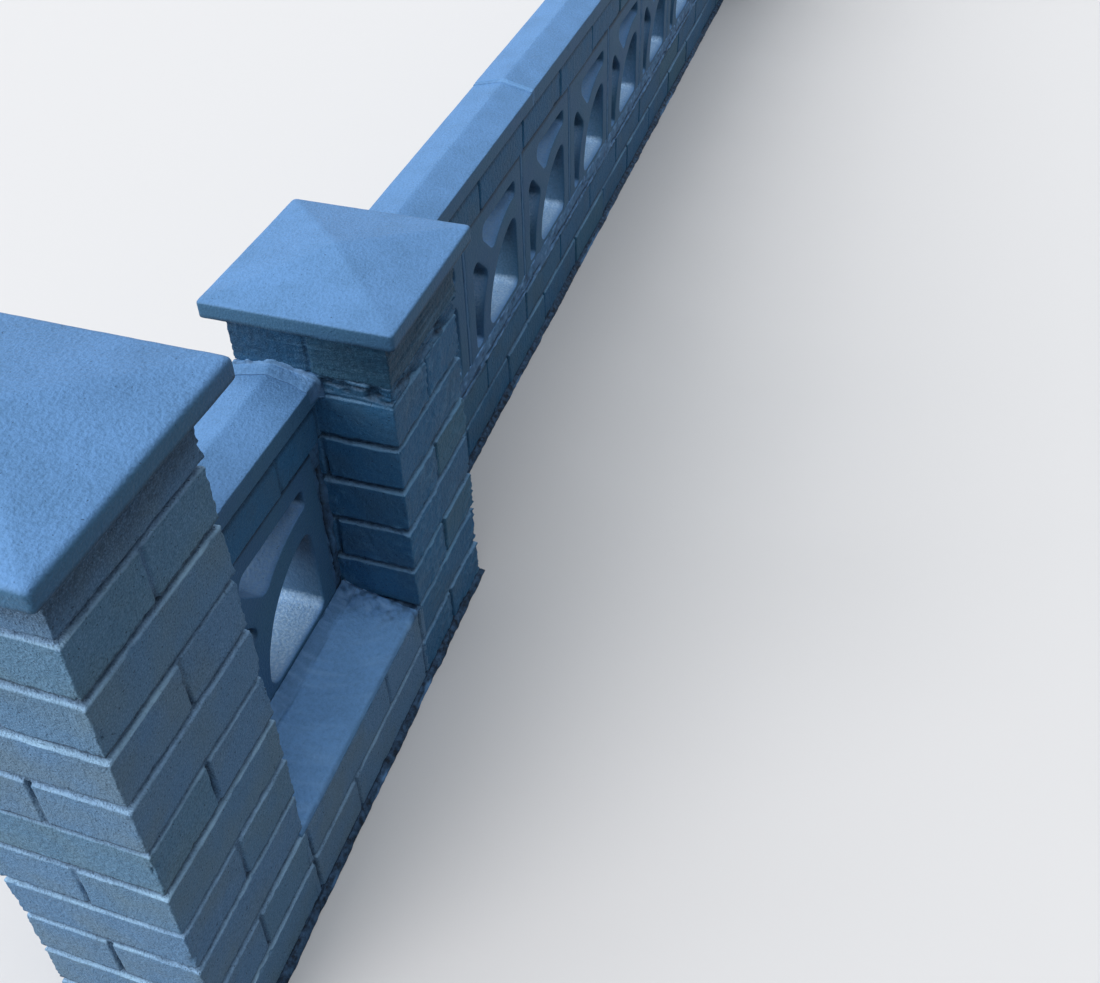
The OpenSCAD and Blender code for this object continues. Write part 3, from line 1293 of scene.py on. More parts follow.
@dataclass
class Cap(Piece):
    """A square concrete cap with a shallow pyramid top.

    Args:
        spacing: Spacing of the grid in mm.
        arris: Radius of the edge's top in mm.
        edge: Height of its upright edge in mm.
        corner: Radius of its upright corners in mm.
        under_r: Radius of its lower edge in mm.
        shown: How much of its underside is worked, past which it rests on the pier, in mm.
        tip: Half the width of the flat on its peak in mm.
        inset: How far its surface lies inside the CAD model's on average in mm.
    """

    PAINT: ClassVar[MasonryPaint] = PAINT_ON_CONCRETE

    spacing: float
    arris: float = 4.0
    edge: float = 24.0
    corner: float = 6.0
    under_r: float = 2.5
    shown: float = 45.0
    tip: float = 3.0
    inset: float = 0.6

    def surface(self) -> Surface:
        """Carries half the cap's section round a rounded square.

        Each ring is a square whose half width is the section's first coordinate, with
        rounded corners. The points are then moved outwards by noise and by chips along
        the upper edge.

        Returns:
            A closed surface.
        """
        low, high = node_box(self.node)
        half = (high[0] - low[0]) / 2
        rise = high[2] - low[2]
        foot = (half - self.shown, 0, 0)
        peak = (self.tip, rise - self.inset, 0)
        side = [(half, 0, self.under_r), (half, self.edge, self.arris)]
        section = rounded([foot, *side, peak], self.spacing, False)
        square, outward, _ = square_ring(even(-1, 1, self.spacing / half), 0.0)
        radius = np.minimum(self.corner, 0.85 * section[:, 0])[:, None, None]
        middle = (low[:2] + high[:2]) / 2
        place = np.empty((len(section), len(square), 3))
        place[..., :2] = middle + (section[:, :1, None] - radius) * square + radius * outward
        place[..., 2] = low[2] + section[:, 1:]
        shape = tube(place)
        points = shape.points
        from_side = half - np.abs(points[:, :2] - middle).max(axis=1)
        from_arris = np.hypot(from_side, points[:, 2] - low[2] - self.edge)
        chips = 2.6 * step(0.55, 0.9, self.noise(points, 12, 0, 3)) * step(9.0, 1.0, from_arris)
        swell = 0.4 * self.noise(points, 70, 1) + 0.25 * self.noise(points, 13, 2)
        # Painted shade on the faces that look down, and a painted shadow line along the bottom of the edge
        under = 0.5 * step(0.0, -0.5, shape.normals()[:, 2])
        wavy = points[:, 2] - low[2] + 1.5 * self.noise(points, 20, 3)
        shape.marks[Mark.JOINT] = np.maximum(under, 0.8 * step(5.0, 2.0, wavy))
        return shape.pushed(swell - self.inset - chips)


@dataclass
class Coping(Piece):
    """A saddleback coping stone.

    Args:
        spacing: Spacing of the grid in mm.
        edge: Height of its upright edges in mm.
        arris: Radius of its long edges in mm.
        ridge: Radius of its ridge in mm.
        under_r: Radius of its lower edges in mm.
        end_r: Radius of the edges at its ends in mm.
        end_spacing: Spacing of the grid at its ends in mm.
        settled: How far its top lies lower than the highest stone's in mm.
        inset: How far its surface lies inside the CAD model's on average in mm.
    """

    PAINT: ClassVar[MasonryPaint] = PAINT_ON_CONCRETE

    spacing: float
    edge: float = 31.0
    arris: float = 2.4
    ridge: float = 6.0
    under_r: float = 2.5
    end_r: float = 1.8
    end_spacing: float = 1.2
    settled: float = 0.0
    inset: float = 0.6

    def section(self, spacing: float) -> np.ndarray:
        """Draws the stone's section in Y and Z.

        Args:
            spacing: About how long a step of the outline is in mm.

        Returns:
            A clockwise loop of points, from the bottom of the patio edge.
        """
        low, high = node_box(self.node)
        middle = (low[1] + high[1]) / 2
        shoulder = low[2] + self.edge
        corners = [
            (low[1], low[2], self.under_r),
            (low[1], shoulder, self.arris),
            (middle, high[2], self.ridge),
            (high[1], shoulder, self.arris),
            (high[1], low[2], self.under_r),
        ]
        return rounded(corners, spacing)

    def surface(self) -> Surface:
        """Carries the section along X, rounds its ends and moves the points by noise.

        Small pits open along the patio edge.

        Returns:
            A closed surface.
        """
        low, high = node_box(self.node)
        xs = graded(low[0], high[0], [low[0], high[0]], self.end_spacing, self.spacing)
        from_end = np.minimum(xs - low[0], high[0] - xs)
        drawn_in = -quarter_round(from_end, self.end_r)[:, None]
        shape = tube(Path.along_x(xs).carry(self.section(self.spacing), drawn_in))
        points = shape.points
        pits = 2.6 * step(0.5, 0.8, self.noise(points, 9)) * step(8.0, 2.0, points[:, 1] - low[1])
        swell = 0.4 * self.noise(points, 80, 1) + 0.3 * self.noise(points, 15, 2)
        # Painted shade on the faces that look down
        shape.marks[Mark.JOINT] = 0.2 * step(0.0, -0.5, shape.normals()[:, 2])
        made = shape.pushed(swell - self.inset - pits)
        made.points[:, 2] -= self.settled * step(low[2], low[2] + self.edge, made.points[:, 2])
        return made


@dataclass
class PiercedBlock(Piece):
    """A square concrete block with one quarter-round opening and two small ones.

    Args:
        spacing: Spacing of the points in mm.
        border: Width of the solid border round the openings in mm.
        web: Width of the webs between the openings in mm.
        reach: Radius of the large opening as a share of the block's side.
        small_r: Radius of the corners at the narrow ends of the small openings in mm.
        wide_r: Radius of the corners at their wide ends in mm.
        large_r: Radius of the ends of the large opening in mm.
        heel_r: Radius of its square corner in mm.
        corner: Radius of the block's own corners in mm.
        arris: Radius of the edges in mm.
        inset: How far its surface lies inside the CAD model's on average in mm.
    """

    PAINT: ClassVar[MasonryPaint] = PAINT_ON_CONCRETE

    spacing: float
    border: float = 34.0
    web: float = 40.0
    reach: float = 0.524
    small_r: float = 9.0
    wide_r: float = 18.0
    large_r: float = 20.0
    heel_r: float = 15.0
    corner: float = 3.0
    arris: float = 2.6
    inset: float = 0.5

    def large_opening(self, side: float) -> np.ndarray:
        """Outlines the quarter disc, whose two ends and square corner are rounded.

        Args:
            side: Side of the block in mm.

        Returns:
            The outline, clockwise as seen from the patio, from the block's lower left corner.
        """
        r, big, heel_r = self.large_r, self.reach * side, self.heel_r
        centre = np.array([side - self.border, self.border])
        far = math.sqrt((big - r) ** 2 - r * r)
        low, high = centre + [-far, r], centre + [-r, far]
        start, stop = bearing(low - centre), bearing(high - centre)
        bends = [
            arc(low, r, 270, start, 5),
            arc(centre, big, start, stop, round(big * math.radians(start - stop) / self.spacing)),
            arc(high, r, stop, 0, 5),
            arc(centre + [-heel_r, heel_r], heel_r, 0, -90, 5),
        ]
        return outline(bends, self.spacing)

    def small_opening(self, side: float) -> np.ndarray:
        """Outlines the opening over the large one, between the border, the web and the stem.

        Its lower side is an arc one web outside the large opening, and its left side is the
        edge of the stem, which runs at 45 degrees along the block's diagonal.

        Args:
            side: Side of the block in mm.

        Returns:
            The outline, clockwise as seen from the patio.
        """
        r, wide, centre = self.small_r, self.wide_r, np.array([side - self.border, self.border])
        big = self.reach * side + self.web
        top, right = side - self.border - r, centre[0] - r
        stem = side + math.sqrt(2) * (self.web / 2 + wide)
        across = (stem - centre.sum()) / math.sqrt(2)
        along = math.sqrt((big + wide) ** 2 - across**2)
        tip = np.array([stem - (side - self.border - wide), side - self.border - wide])
        foot = centre + (across * np.array([1, 1]) + along * np.array([-1, 1])) / math.sqrt(2)
        right_low = np.array([right, centre[1] + math.sqrt((big + r) ** 2 - r * r)])
        start, stop = bearing(right_low - centre), bearing(foot - centre)
        bends = [
            arc(np.array([right, top]), r, 90, 0),
            arc(right_low, r, 0, start - 180, 4),
            arc(centre, big, start, stop, round(big * math.radians(stop - start) / self.spacing)),
            arc(foot, wide, stop - 180, -135, 6),
            arc(tip, wide, 225, 90, 6),
        ]
        return outline(bends, self.spacing)

    def walls(self, low: np.ndarray, high: np.ndarray) -> list[np.ndarray]:
        """Carries the block's outline and those of its openings from its back to its front.

        Each is drawn in by a quarter round at both rims. The second small opening mirrors
        the first across the block's diagonal.

        Args:
            low: Lowest corner of the block in mm.
            high: Highest corner of the block in mm.

        Returns:
            Grids of points, the block's own outline first, with X and Z from the block's
            lower left corner.
        """
        side, depth, r = high[0] - low[0], high[1] - low[1], self.corner
        small = self.small_opening(side)
        holes = [self.large_opening(side), small, (side - small[:, ::-1])[::-1]]
        square = rounded([(0, 0, r), (0, side, r), (side, side, r), (side, 0, r)], 1.6 * self.spacing)
        bend = self.arris * (1 - np.cos(np.linspace(0, math.pi / 2, 4)))[:-1]
        deep = even(self.arris, depth - self.arris, 1.5 * self.spacing)
        ys = low[1] + np.concatenate([bend, deep, depth - bend[::-1]])
        drawn_in = -quarter_round(np.minimum(ys - low[1], high[1] - ys), self.arris)[::-1, None]
        return [Path.against_y(ys).carry(loop, drawn_in) for loop in [square, *(h[::-1] for h in holes)]]

    def shell(self, low: np.ndarray, high: np.ndarray) -> tuple[Surface, np.ndarray]:
        """Joins the walls to the two faces, which are filled between the walls' rims.

        Args:
            low: Lowest corner of the block in mm.
            high: Highest corner of the block in mm.

        Returns:
            A closed surface, and for each wall the number of its last point plus one.
        """
        walls = self.walls(low, high)
        rims = [wall[-1][:, [0, 2]] for wall in walls]
        grid, face = filled(rims, self.spacing)
        ends = np.cumsum([wall.shape[0] * wall.shape[1] for wall in walls])
        starts = np.concatenate([[0], ends[:-1]])
        spread = ends[-1] + np.arange(len(grid))
        front_rims = [stop - len(rim) + np.arange(len(rim)) for stop, rim in zip(ends, rims)]
        back_rims = [start + np.arange(len(rim)) for start, rim in zip(starts, rims)]
        front = np.concatenate([*front_rims, spread])
        back = np.concatenate([*back_rims, spread + len(grid)])
        sheets = [np.insert(grid, 1, y, axis=1) for y in (low[1], high[1])]
        points = np.concatenate([*(wall.reshape(-1, 3) for wall in walls), *sheets]) + [low[0], 0, low[2]]
        sides = np.concatenate([wrapped(*wall.shape[:2]) + start for wall, start in zip(walls, starts)])
        return Surface(points, [sides, np.concatenate([front[face], back[face][:, ::-1]])]), ends

    def surface(self) -> Surface:
        """Moves the points of the block by noise and chips its edges.

        The coat is thin on the rough sills inside the openings, which are paler also as painted light. The
        upper inner walls get painted shade, and the block's top a painted shadow line.

        Returns:
            A closed surface.
        """
        low, high = node_box(self.node)
        shape, ends = self.shell(low, high)
        points = shape.points
        number = np.arange(len(points))
        from_face = np.minimum(points[:, 1] - low[1], high[1] - points[:, 1])
        inner = step(1.0, 9.0, from_face) * ((number >= ends[0]) & (number < ends[-1]))
        sill = step(0.1, 0.45, shape.normals()[:, 2])
        # Thin coat inside the openings, and painted light on the sills that look up, strongest in the large
        # opening
        bare = inner * (0.15 + 0.85 * sill) * np.where(number < ends[1], 1.0, 0.4)
        height = (points[:, 2] - low[2]) / (high[2] - low[2])
        # Painted shade on the inner walls, darker higher up, and a painted shadow along the block's top
        # under the course
        upper_wall_shade = inner * (1 - sill) * (0.3 + 0.5 * step(0.3, 0.65, height))
        top_edge_shadow = 0.9 * step(6.0, 2.5, high[2] - points[:, 2])
        shape.marks |= {Mark.BARE_AND_LIT: bare, Mark.JOINT: np.maximum(upper_wall_shade, top_edge_shadow)}
        chips = 1.4 * step(0.55, 0.85, self.noise(points, 11, 0, 3)) * step(5.0, 1.0, from_face)
        swell = 0.5 * self.noise(points, 60, 1) + 0.3 * self.noise(points, 14, 2)
        rough = bare * self.noise(points, 8, 3)
        return shape.pushed(swell - self.inset - chips + rough)


@dataclass
class BlockJoints(Piece):
    """The mortar round the blocks of a bay, with the smears where its coping meets the piers.

    Args:
        blocks: CAD nodes of the bay's blocks from the start on.
        stones: The bay's coping stones.
        wide: Width past which an upright joint is filled with lumpy mortar in mm.
        groove: Depth of the groove along a narrow joint in mm.
        flush: How far the mortar of the joints stands out past the CAD model's in mm.
        smear_w: How far the smears spread over the coping in mm.
        smear_h: How far they reach up the piers in mm.
    """

    PAINT: ClassVar[MasonryPaint] = PAINT_ON_MORTAR

    blocks: list[str]
    stones: list[Coping]
    wide: float = 15.0
    groove: float = 10.0
    flush: float = 3.0
    smear_w: float = 21.0
    smear_h: float = 7.0

    def upright(self, x0: float, x1: float) -> Surface:
        """Works out one upright joint, or the mortar that fills a wide gap.

        A narrow joint is nearly flush, with a thin groove that wanders near one side. A wide
        one is lumpy all over, with open slots along a wandering line.

        Args:
            x0: Where it starts in mm.
            x1: Where it stops in mm.

        Returns:
            A closed surface.
        """
        low, high = node_box(self.node)
        wide = x1 - x0 > self.wide
        section = slab(even(x0 - 1.5, x1 + 1.5, 1.4 if wide else 1.1), low[1], high[1])
        place = Path.down_z(even(low[2], high[2], 2.2 if wide else 6.0)).carry(section)
        up = place * [0, 0, 1]
        if wide:
            line = (x0 + x1) / 2 + 5.0 * self.noise(up, 60)
            slots = bell(place[..., 0] - line, 2.6) * step(-0.25, 0.15, self.noise(up, 30, 1))
            lumps = 4.4 * self.noise(place, (13, 13, 20), 2, 3) + 1.3 * self.noise(place, 4.5, 3)
            out = np.minimum(1.0 + lumps, 4.0) - 12.0 * slots
            # Darker in the hollows between the lumps and in the slots, with dirt and painted shade
            shade_and_dirt = np.clip(0.55 - 0.16 * lumps + slots, 0, 1)
        else:
            line = x0 + 2.0 + 0.8 * self.noise(up, 40, 4)
            slots = bell(place[..., 0] - line, 2.0)
            out = self.flush + 0.7 * self.noise(place, 9, 5) - self.groove * slots
            # Dark in the groove, with painted shade
            shade_and_dirt = np.clip(1.8 * slots, 0, 1)
        place[..., 1] += out * faces_of(section)
        return tube(place, {Mark.JOINT: shade_and_dirt * np.abs(faces_of(section))})

    def bed(self, z0: float, z1: float) -> Surface:
        """Works out a thin bed along the bay, which is nearly flush and open in places.

        Args:
            z0: Height of its bottom in mm.
            z1: Height of its top in mm.

        Returns:
            A closed surface.
        """
        low, high = node_box(self.node)
        section = slab(even(z0 - 0.5, z1 + 0.5, 1.3), low[1], high[1])
        place = Path.along_x(even(low[0], high[0], 7.5)).carry(section)
        line = z1 - 1.6 + 0.5 * self.noise(place * [1, 0, 0], 30, 6)
        opened = bell(place[..., 2] - line, 2.0) * step(-0.7, 0.1, self.noise(place, 60, 7))
        out = self.flush - 1.5 + 0.8 * self.noise(place, (20, 20, 6), 8) - 9.0 * opened
        place[..., 1] += out * faces_of(section)
        # The beds are dark as joints and with painted shade under the blocks and the course, darker where
        # they are open
        return tube(place, {Mark.JOINT: (0.8 + 0.2 * opened) * np.abs(faces_of(section))})

    def smear(self, stone: Coping, x: float, towards: float, size: float) -> Surface:
        """Works out the mortar smeared over the joint between a coping stone and a pier.

        A thin hollow fillet is carried along the stone's outline, up one side, over its top
        and down the other. Its rim wanders, its points are moved by coarse noise, and short
        strokes run over it in arcs.

        Args:
            stone: The coping stone.
            x: Where the pier's face is in mm.
            towards: 1 where the pier is past the stone, or -1 where it is before it.
            size: How large the smear is, where 1 is the full size.

        Returns:
            A closed surface.
        """
        foot = node_box(stone.node)[0][2]
        line = stone.section(2.5)
        line = line[line[:, 1] > foot + 6][::-1]
        ahead = np.gradient(line, axis=0)
        ahead /= np.linalg.norm(ahead, axis=1, keepdims=True)
        places = np.column_stack([np.full(len(line), x), line])
        upward = np.column_stack([np.zeros(len(line)), ahead[:, 1], -ahead[:, 0]])
        path = Path(places, np.tile([1.0, 0.0, 0.0], (len(line), 1)), upward)
        w, h = self.smear_w * size, self.smear_h * size
        corners = [
            (-w, -4.0, 0),
            (-w, -0.9, 0.5),
            (-0.4 * w, 1.2, 12.0),
            (-2.5, 2.2, 2.0),
            (-0.7, h, 1.0),
            (5.0, h, 0),
            (5.0, -4.0, 0),
        ]
        section = rounded(corners, 2.5)
        if towards < 0:
            section = (section * [-1, 1])[::-1]
        place = path.carry(section)
        climb = np.maximum(section[:, 1] - 2.0, 0) * 0.7 * self.noise(place * [1, 1, 0.4], 11, 15)
        shape = tube(place + climb[..., None] * path.upward[:, None])
        points = shape.points
        reach = np.abs(points[:, 0] - x)
        points[:, 0] += 0.3 * (points[:, 0] - x) * self.noise(points * [0, 1, 1], 34, 9)
        arcs = np.column_stack([np.hypot(points[:, 0] - x + 20, points[:, 1] - 30), points[:, 1:] * 0.2])
        strokes = self.noise(arcs, 6, 11)
        noise = 0.7 * self.noise(points, 15, 10, 3) + 0.6 * strokes
        ragged = 1.4 * self.noise(points, 5.5, 12) * step(5.0, 1.5, reach)
        made = shape.pushed((noise + ragged) * size)
        # Painted shade in the hollows against the pier, and painted highlights on the raised strokes
        hollows = 0.7 * step(4.0, 1.0, reach) * step(-0.1, 0.4, self.noise(points, 6, 13))
        made.marks[Mark.JOINT] = np.maximum(0.2, hollows)
        made.marks[Mark.WEAR_AND_HIGHLIGHT] = np.clip(0.1 + 0.5 * strokes, 0, 1) * step(w, 0.2 * w, reach)
        return made

    def stone_joint(self, before: Coping, after: Coping) -> Surface:
        """Works out the mortar between two coping stones, a little inside their outline.

        Args:
            before: The stone before it.
            after: The stone after it.

        Returns:
            A closed surface.
        """
        xs = even(node_box(before.node)[1][0] - 4, node_box(after.node)[0][0] + 4, 2.0)
        shape = tube(Path.along_x(xs).carry(before.section(4.0), -1.2))
        # The patio half gets a painted highlight and the back half painted shade
        patio_half = step(70.0, 45.0, shape.points[:, 1])
        shape.marks[Mark.WEAR_AND_HIGHLIGHT] = 0.15 * patio_half
        shape.marks[Mark.JOINT] = 0.3 * (1 - patio_half)
        return shape.pushed(0.7 * self.noise(shape.points, 9, 14) + 0.6 * patio_half)

    def surface(self) -> Surface:
        """Works out the beds, the upright joints, the smears and the coping's own joints.

        Returns:
            One surface that holds them all.
        """
        low, high = node_box(self.node)
        boxes = [node_box(block) for block in self.blocks]
        starts = [low[0], *(box[1][0] for box in boxes)]
        stops = [*(box[0][0] for box in boxes), high[0]]
        return joined([
            *(self.upright(a, b) for a, b in zip(starts, stops)),
            self.bed(low[2], boxes[0][0][2]),
            self.bed(boxes[0][1][2], high[2]),
            self.smear(self.stones[0], low[0], -1, 0.7),
            self.smear(self.stones[-1], high[0], 1, 1.0),
            *(self.stone_joint(a, b) for a, b in zip(self.stones, self.stones[1:])),
        ])


@dataclass
class MortarLedge(Piece):
    """The sloped mortar on the ledge in front of the short bay's block.

    Args:
        spacing: Spacing of the grid in mm.
        strip_w: Width of the steeper strip against the block in mm.
        strip_h: Height of that strip in mm.
        lip: Thickness of the mortar at the outer edge in mm.
        inset: How far its top lies inside the CAD model's on average in mm.
    """

    PAINT: ClassVar[MasonryPaint] = PAINT_ON_MORTAR

    spacing: float = 2.3
    strip_w: float = 20.0
    strip_h: float = 10.0
    lip: float = 8.0
    inset: float = 0.8

    def surface(self) -> Surface:
        """Carries the slope's section along X and works it with brush marks and lumps.

        A fine crack runs where the strip meets the slope. The brush marks run in arcs about
        the far corner, where the mortar is lumpy, and a groove parts it from the far pier.

        Returns:
            A closed surface.
        """
        low, high = node_box(self.node)
        crease = high[1] - self.strip_w
        corners = [
            (high[1], low[2], 0),
            (low[1], low[2], 0),
            (low[1], low[2] + self.lip, 8.5),
            (crease, high[2] - self.strip_h, 6.0),
            (high[1], high[2], 1.0),
        ]
        xs = even(low[0] - KEYED, high[0] + KEYED, self.spacing)
        shape = tube(Path.along_x(xs).carry(rounded(corners, self.spacing)))
        points = shape.points
        on_top = step(-0.3, 0.5, shape.normals()[:, 2])
        to_end = step(62.0, 22.0, high[0] - points[:, 0])
        swirl = np.hypot(points[:, 0] - high[0], points[:, 1] - high[1])
        strokes = self.noise(np.column_stack([points[:, 0] * 0.25, swirl, points[:, 2]]), (40, 7, 9))
        brushed = (0.9 + 0.4 * to_end) * strokes + 0.7 * self.noise(points, 50, 1)
        lumps = to_end * (4.6 * self.noise(points, 13, 2, 3) + 1.2)
        line = crease - 1 + 2.0 * self.noise(points * [1, 0, 0], 40, 3)
        crack = step(-0.6, 0.4, self.noise(points, 50, 4)) * bell(points[:, 1] - line, 1.7) * on_top
        end = high[0] - 2.5 + 1.5 * self.noise(points * [0, 1, 0], 30, 6)
        parted = step(5.0, 0.0, end - points[:, 0]) * on_top
        out = (brushed + lumps - self.inset) * on_top - 1.6 * crack - 6.0 * parted
        # Darker on the steeper strip, in the crack and in the groove at the pier, with painted shade in the
        # rim's hollows; painted highlights on its ridges and on the brush strokes
        strip = 0.3 * step(0.0, 4.0, points[:, 1] - line) * on_top
        shade_and_dirt = np.maximum(np.maximum(0.55 * crack, strip), 0.9 * parted)
        rim = self.noise(points, 9, 7)
        ridges = to_end * step(0.05, 0.45, rim)
        shade_and_dirt = np.maximum(shade_and_dirt, 0.6 * to_end * step(-0.05, -0.45, rim) * on_top)
        worn = (0.3 * step(-0.1, 0.6, strokes) + 0.6 * ridges) * on_top
        marks = {Mark.JOINT: shade_and_dirt, Mark.WEAR_AND_HIGHLIGHT: worn}
        made = Surface(points, shape.faces, marks).pushed(out)
        made.points[:, 2] = np.maximum(made.points[:, 2], low[2])
        return made


@dataclass
class MortarFillet(Piece):
    """A triangular fillet of mortar along a line of corners.

    Args:
        corners: The line that its upright side follows, as (x, y) in mm.
        width: How far it stands out from that line in mm.
        lumps: Height of its lumps in mm.
        relief_shading: How strongly its ridges get painted highlights and its hollows painted shade, from 0
            to 1.
        crack: Depth of the crack that runs along it in mm.
        crack_at: Height of the crack above its foot in mm.
        crack_w: About half the width of the crack in mm.
        dirty_from: Height above its foot from which dirt has gathered on it in mm.
        buried: Share of its rim that dirt hides, from 0 to 1.
        keyed: How far it reaches into the wall in mm.
        spacing: Spacing along its length in mm, half of which is used at the near end.
    """

    PAINT: ClassVar[MasonryPaint] = PAINT_ON_MORTAR

    corners: list[tuple[float, float]]
    width: float
    lumps: float = 1.0
    relief_shading: float = 0.0
    crack: float = 4.0
    crack_at: float = 4.5
    crack_w: float = 1.9
    dirty_from: float = 100.0
    buried: float = 0.0
    keyed: float = 2.0
    spacing: float = 5.6

    def path(self) -> Path:
        """Follows the line, whose corners are square.

        The section's first coordinate points towards the wall, which is on the left. At a
        corner its direction is the sum of those of the two sides, so the fillet is mitred,
        and along a side it changes evenly from one corner to the next.

        Returns:
            The path.
        """
        corners = np.array(self.corners, float)
        ahead = np.diff(corners, axis=0)
        length = np.linalg.norm(ahead, axis=1)
        left = np.stack([-ahead[:, 1], ahead[:, 0]], axis=-1) / length[:, None]
        mitres = np.concatenate([left[:1], left[:-1] + left[1:], left[-1:]])
        reached = np.concatenate([[0], np.cumsum(length)])
        share = even(0, 1, self.spacing / reached[-1])
        stations = np.union1d(reached, reached[-1] * (0.5 * share + 0.5 * share**2))
        flat = [np.interp(stations, reached, values) for values in (*corners.T, *mitres.T)]
        zeros = np.zeros(len(stations))
        return Path(
            np.stack([flat[0], flat[1], zeros], axis=-1),
            np.stack([flat[2], flat[3], zeros], axis=-1),
            np.tile([0.0, 0.0, 1.0], (len(stations), 1)),
        )

    def surface(self) -> Surface:
        """Carries a triangle with a blunt nose along the path and moves its points by noise.

        The crack wanders about its height and is closed in places.

        Returns:
            A closed surface.
        """
        low, high = node_box(self.node)
        corners = [
            (self.keyed, low[2], 0),
            (-self.width, low[2], 1.2),
            (0.0, high[2], 0.8),
            (self.keyed, high[2], 0),
        ]
        shape = tube(self.path().carry(rounded(corners, 2.6)))
        points = shape.points
        flat = points * [1, 1, 0]
        fine = self.noise(points, (11, 9, 6), 1)
        lumps = self.lumps * (self.noise(points, 40, 0, 3) + 0.6 * fine)
        wander = 3.0 * self.noise(flat, 26, 2, 3)
        line = low[2] + self.crack_at + wander + 1.5 * self.noise(flat, 8, 6)
        opened = step(-0.6, 0.0, self.noise(flat, 70, 3))
        crack = bell(points[:, 2] - line, self.crack_w) * opened
        ragged = 4.0 * self.noise(flat, 18, 4, 3)
        dirt = step(-1.5, 1.5, points[:, 2] - low[2] - self.dirty_from + ragged)
        hidden = self.noise(flat, 55, 5, 3) + 2 * self.buried - 1
        dirt = np.maximum(dirt, step(-0.15, 0.15, hidden))
        # Painted highlights on the ridges and painted shade in the hollows of the fine lumps
        hollow, ridge = (self.relief_shading * step(0.1, 0.6, sign * fine) for sign in (-1, 1))
        marks = {Mark.JOINT: np.maximum(np.maximum(crack, dirt), hollow), Mark.WEAR_AND_HIGHLIGHT: ridge * (1 - crack)}
        made = Surface(points, shape.faces, marks).pushed(lumps - self.crack * crack)
        made.points[:, 2] = np.maximum(made.points[:, 2], low[2])
        return made


# Assemblies


@dataclass
class CappedPier:
    """A pier with its cap.

    Args:
        name: Name of the pier, as its CAD nodes have it.
        rows: Number of courses.
        rough_row: The row whose bed is thick and smeared, or -1 for none.
        seed: Which pattern.
        fine: Spacing of the brickwork's grid at the joints in mm.
        cap_spacing: Spacing of the cap's grid in mm.
        cap_arris: Radius of the cap's upper edge in mm.
        bricks: The shape of its bricks.
        paint: The paint on its bricks.
    """

    name: str
    rows: int
    rough_row: int
    seed: int
    fine: float
    cap_spacing: float
    cap_arris: float = 4.0
    bricks: BrickFaces = BrickFaces()
    paint: MasonryPaint = PAINT_ON_BRICK

    def build(self) -> None:
        """Builds the pier and its cap."""
        Pier(
            f"{self.name}_pier", self.rows, self.rough_row, self.fine, 3 * self.fine,
            bricks=self.bricks, seed=self.seed, paint=self.paint,
        ).build()
        Cap(f"{self.name}_cap", self.cap_spacing, self.cap_arris, seed=self.seed + 60).build()

    def box(self) -> tuple[np.ndarray, np.ndarray]:
        """Returns the lowest and the highest corner of the pier's brickwork in mm."""
        return node_box(f"{self.name}_pier")


@dataclass
class ScreenBay:
    """A bay of pierced blocks on a brick base, under a brick course and coping.

    Args:
        name: Name of the bay, as its CAD nodes have it.
        blocks: CAD nodes of its blocks.
        stones: CAD nodes of its coping stones.
        base_joints: For each course of the base, the place of one upright joint in mm.
        top_joint: Place of one upright joint in the top course in mm.
        seed: Which pattern.
        fine: Spacing of the brickwork's grid at the joints in mm.
        coping_spacing: Spacing of the coping's grid in mm.
        block_spacing: Spacing of the blocks' points in mm.
        paint: The paint on its base.
        sheltered: How far down dirt and painted shade reach under the base's upper edge in mm.
        top_bed: Height of the open bed under the top course in mm.
        settled: How far every other coping stone lies lower than its neighbours in mm.
    """

    name: str
    blocks: list[str]
    stones: list[str]
    base_joints: tuple[float, ...]
    top_joint: float
    seed: int
    fine: float
    coping_spacing: float
    block_spacing: float
    paint: MasonryPaint = PAINT_ON_BRICK
    sheltered: float = 0.0
    top_bed: float = 3.5
    settled: float = 2.2

    def build(self) -> None:
        """Builds the bay from the ground up."""
        spacing = (self.fine, 3 * self.fine)
        BrickRun(
            f"{self.name}_base", JOINT, self.base_joints, *spacing,
            bricks=BrickFaces(sheltered=self.sheltered), seed=self.seed, paint=self.paint,
        ).build()
        for block in self.blocks:
            PiercedBlock(block, self.block_spacing, seed=81).build()
        BrickRun(
            f"{self.name}_top_course", self.top_bed, (self.top_joint,), *spacing,
            bricks=BrickFaces(shaded=17.0, upright=12.0, upright_w=8.0),
            seed=self.seed + 20, paint=SHADED_FRESH_PAINT_ON_BRICK,
        ).build()
        stones = []
        for number, node in enumerate(self.stones):
            settled = self.settled if number % 2 == 0 else 0.0
            stones.append(Coping(node, self.coping_spacing, settled=settled, seed=71 + 9 * number))
            stones[-1].build()
        BlockJoints(f"{self.name}_joints", self.blocks, stones, seed=91).build()


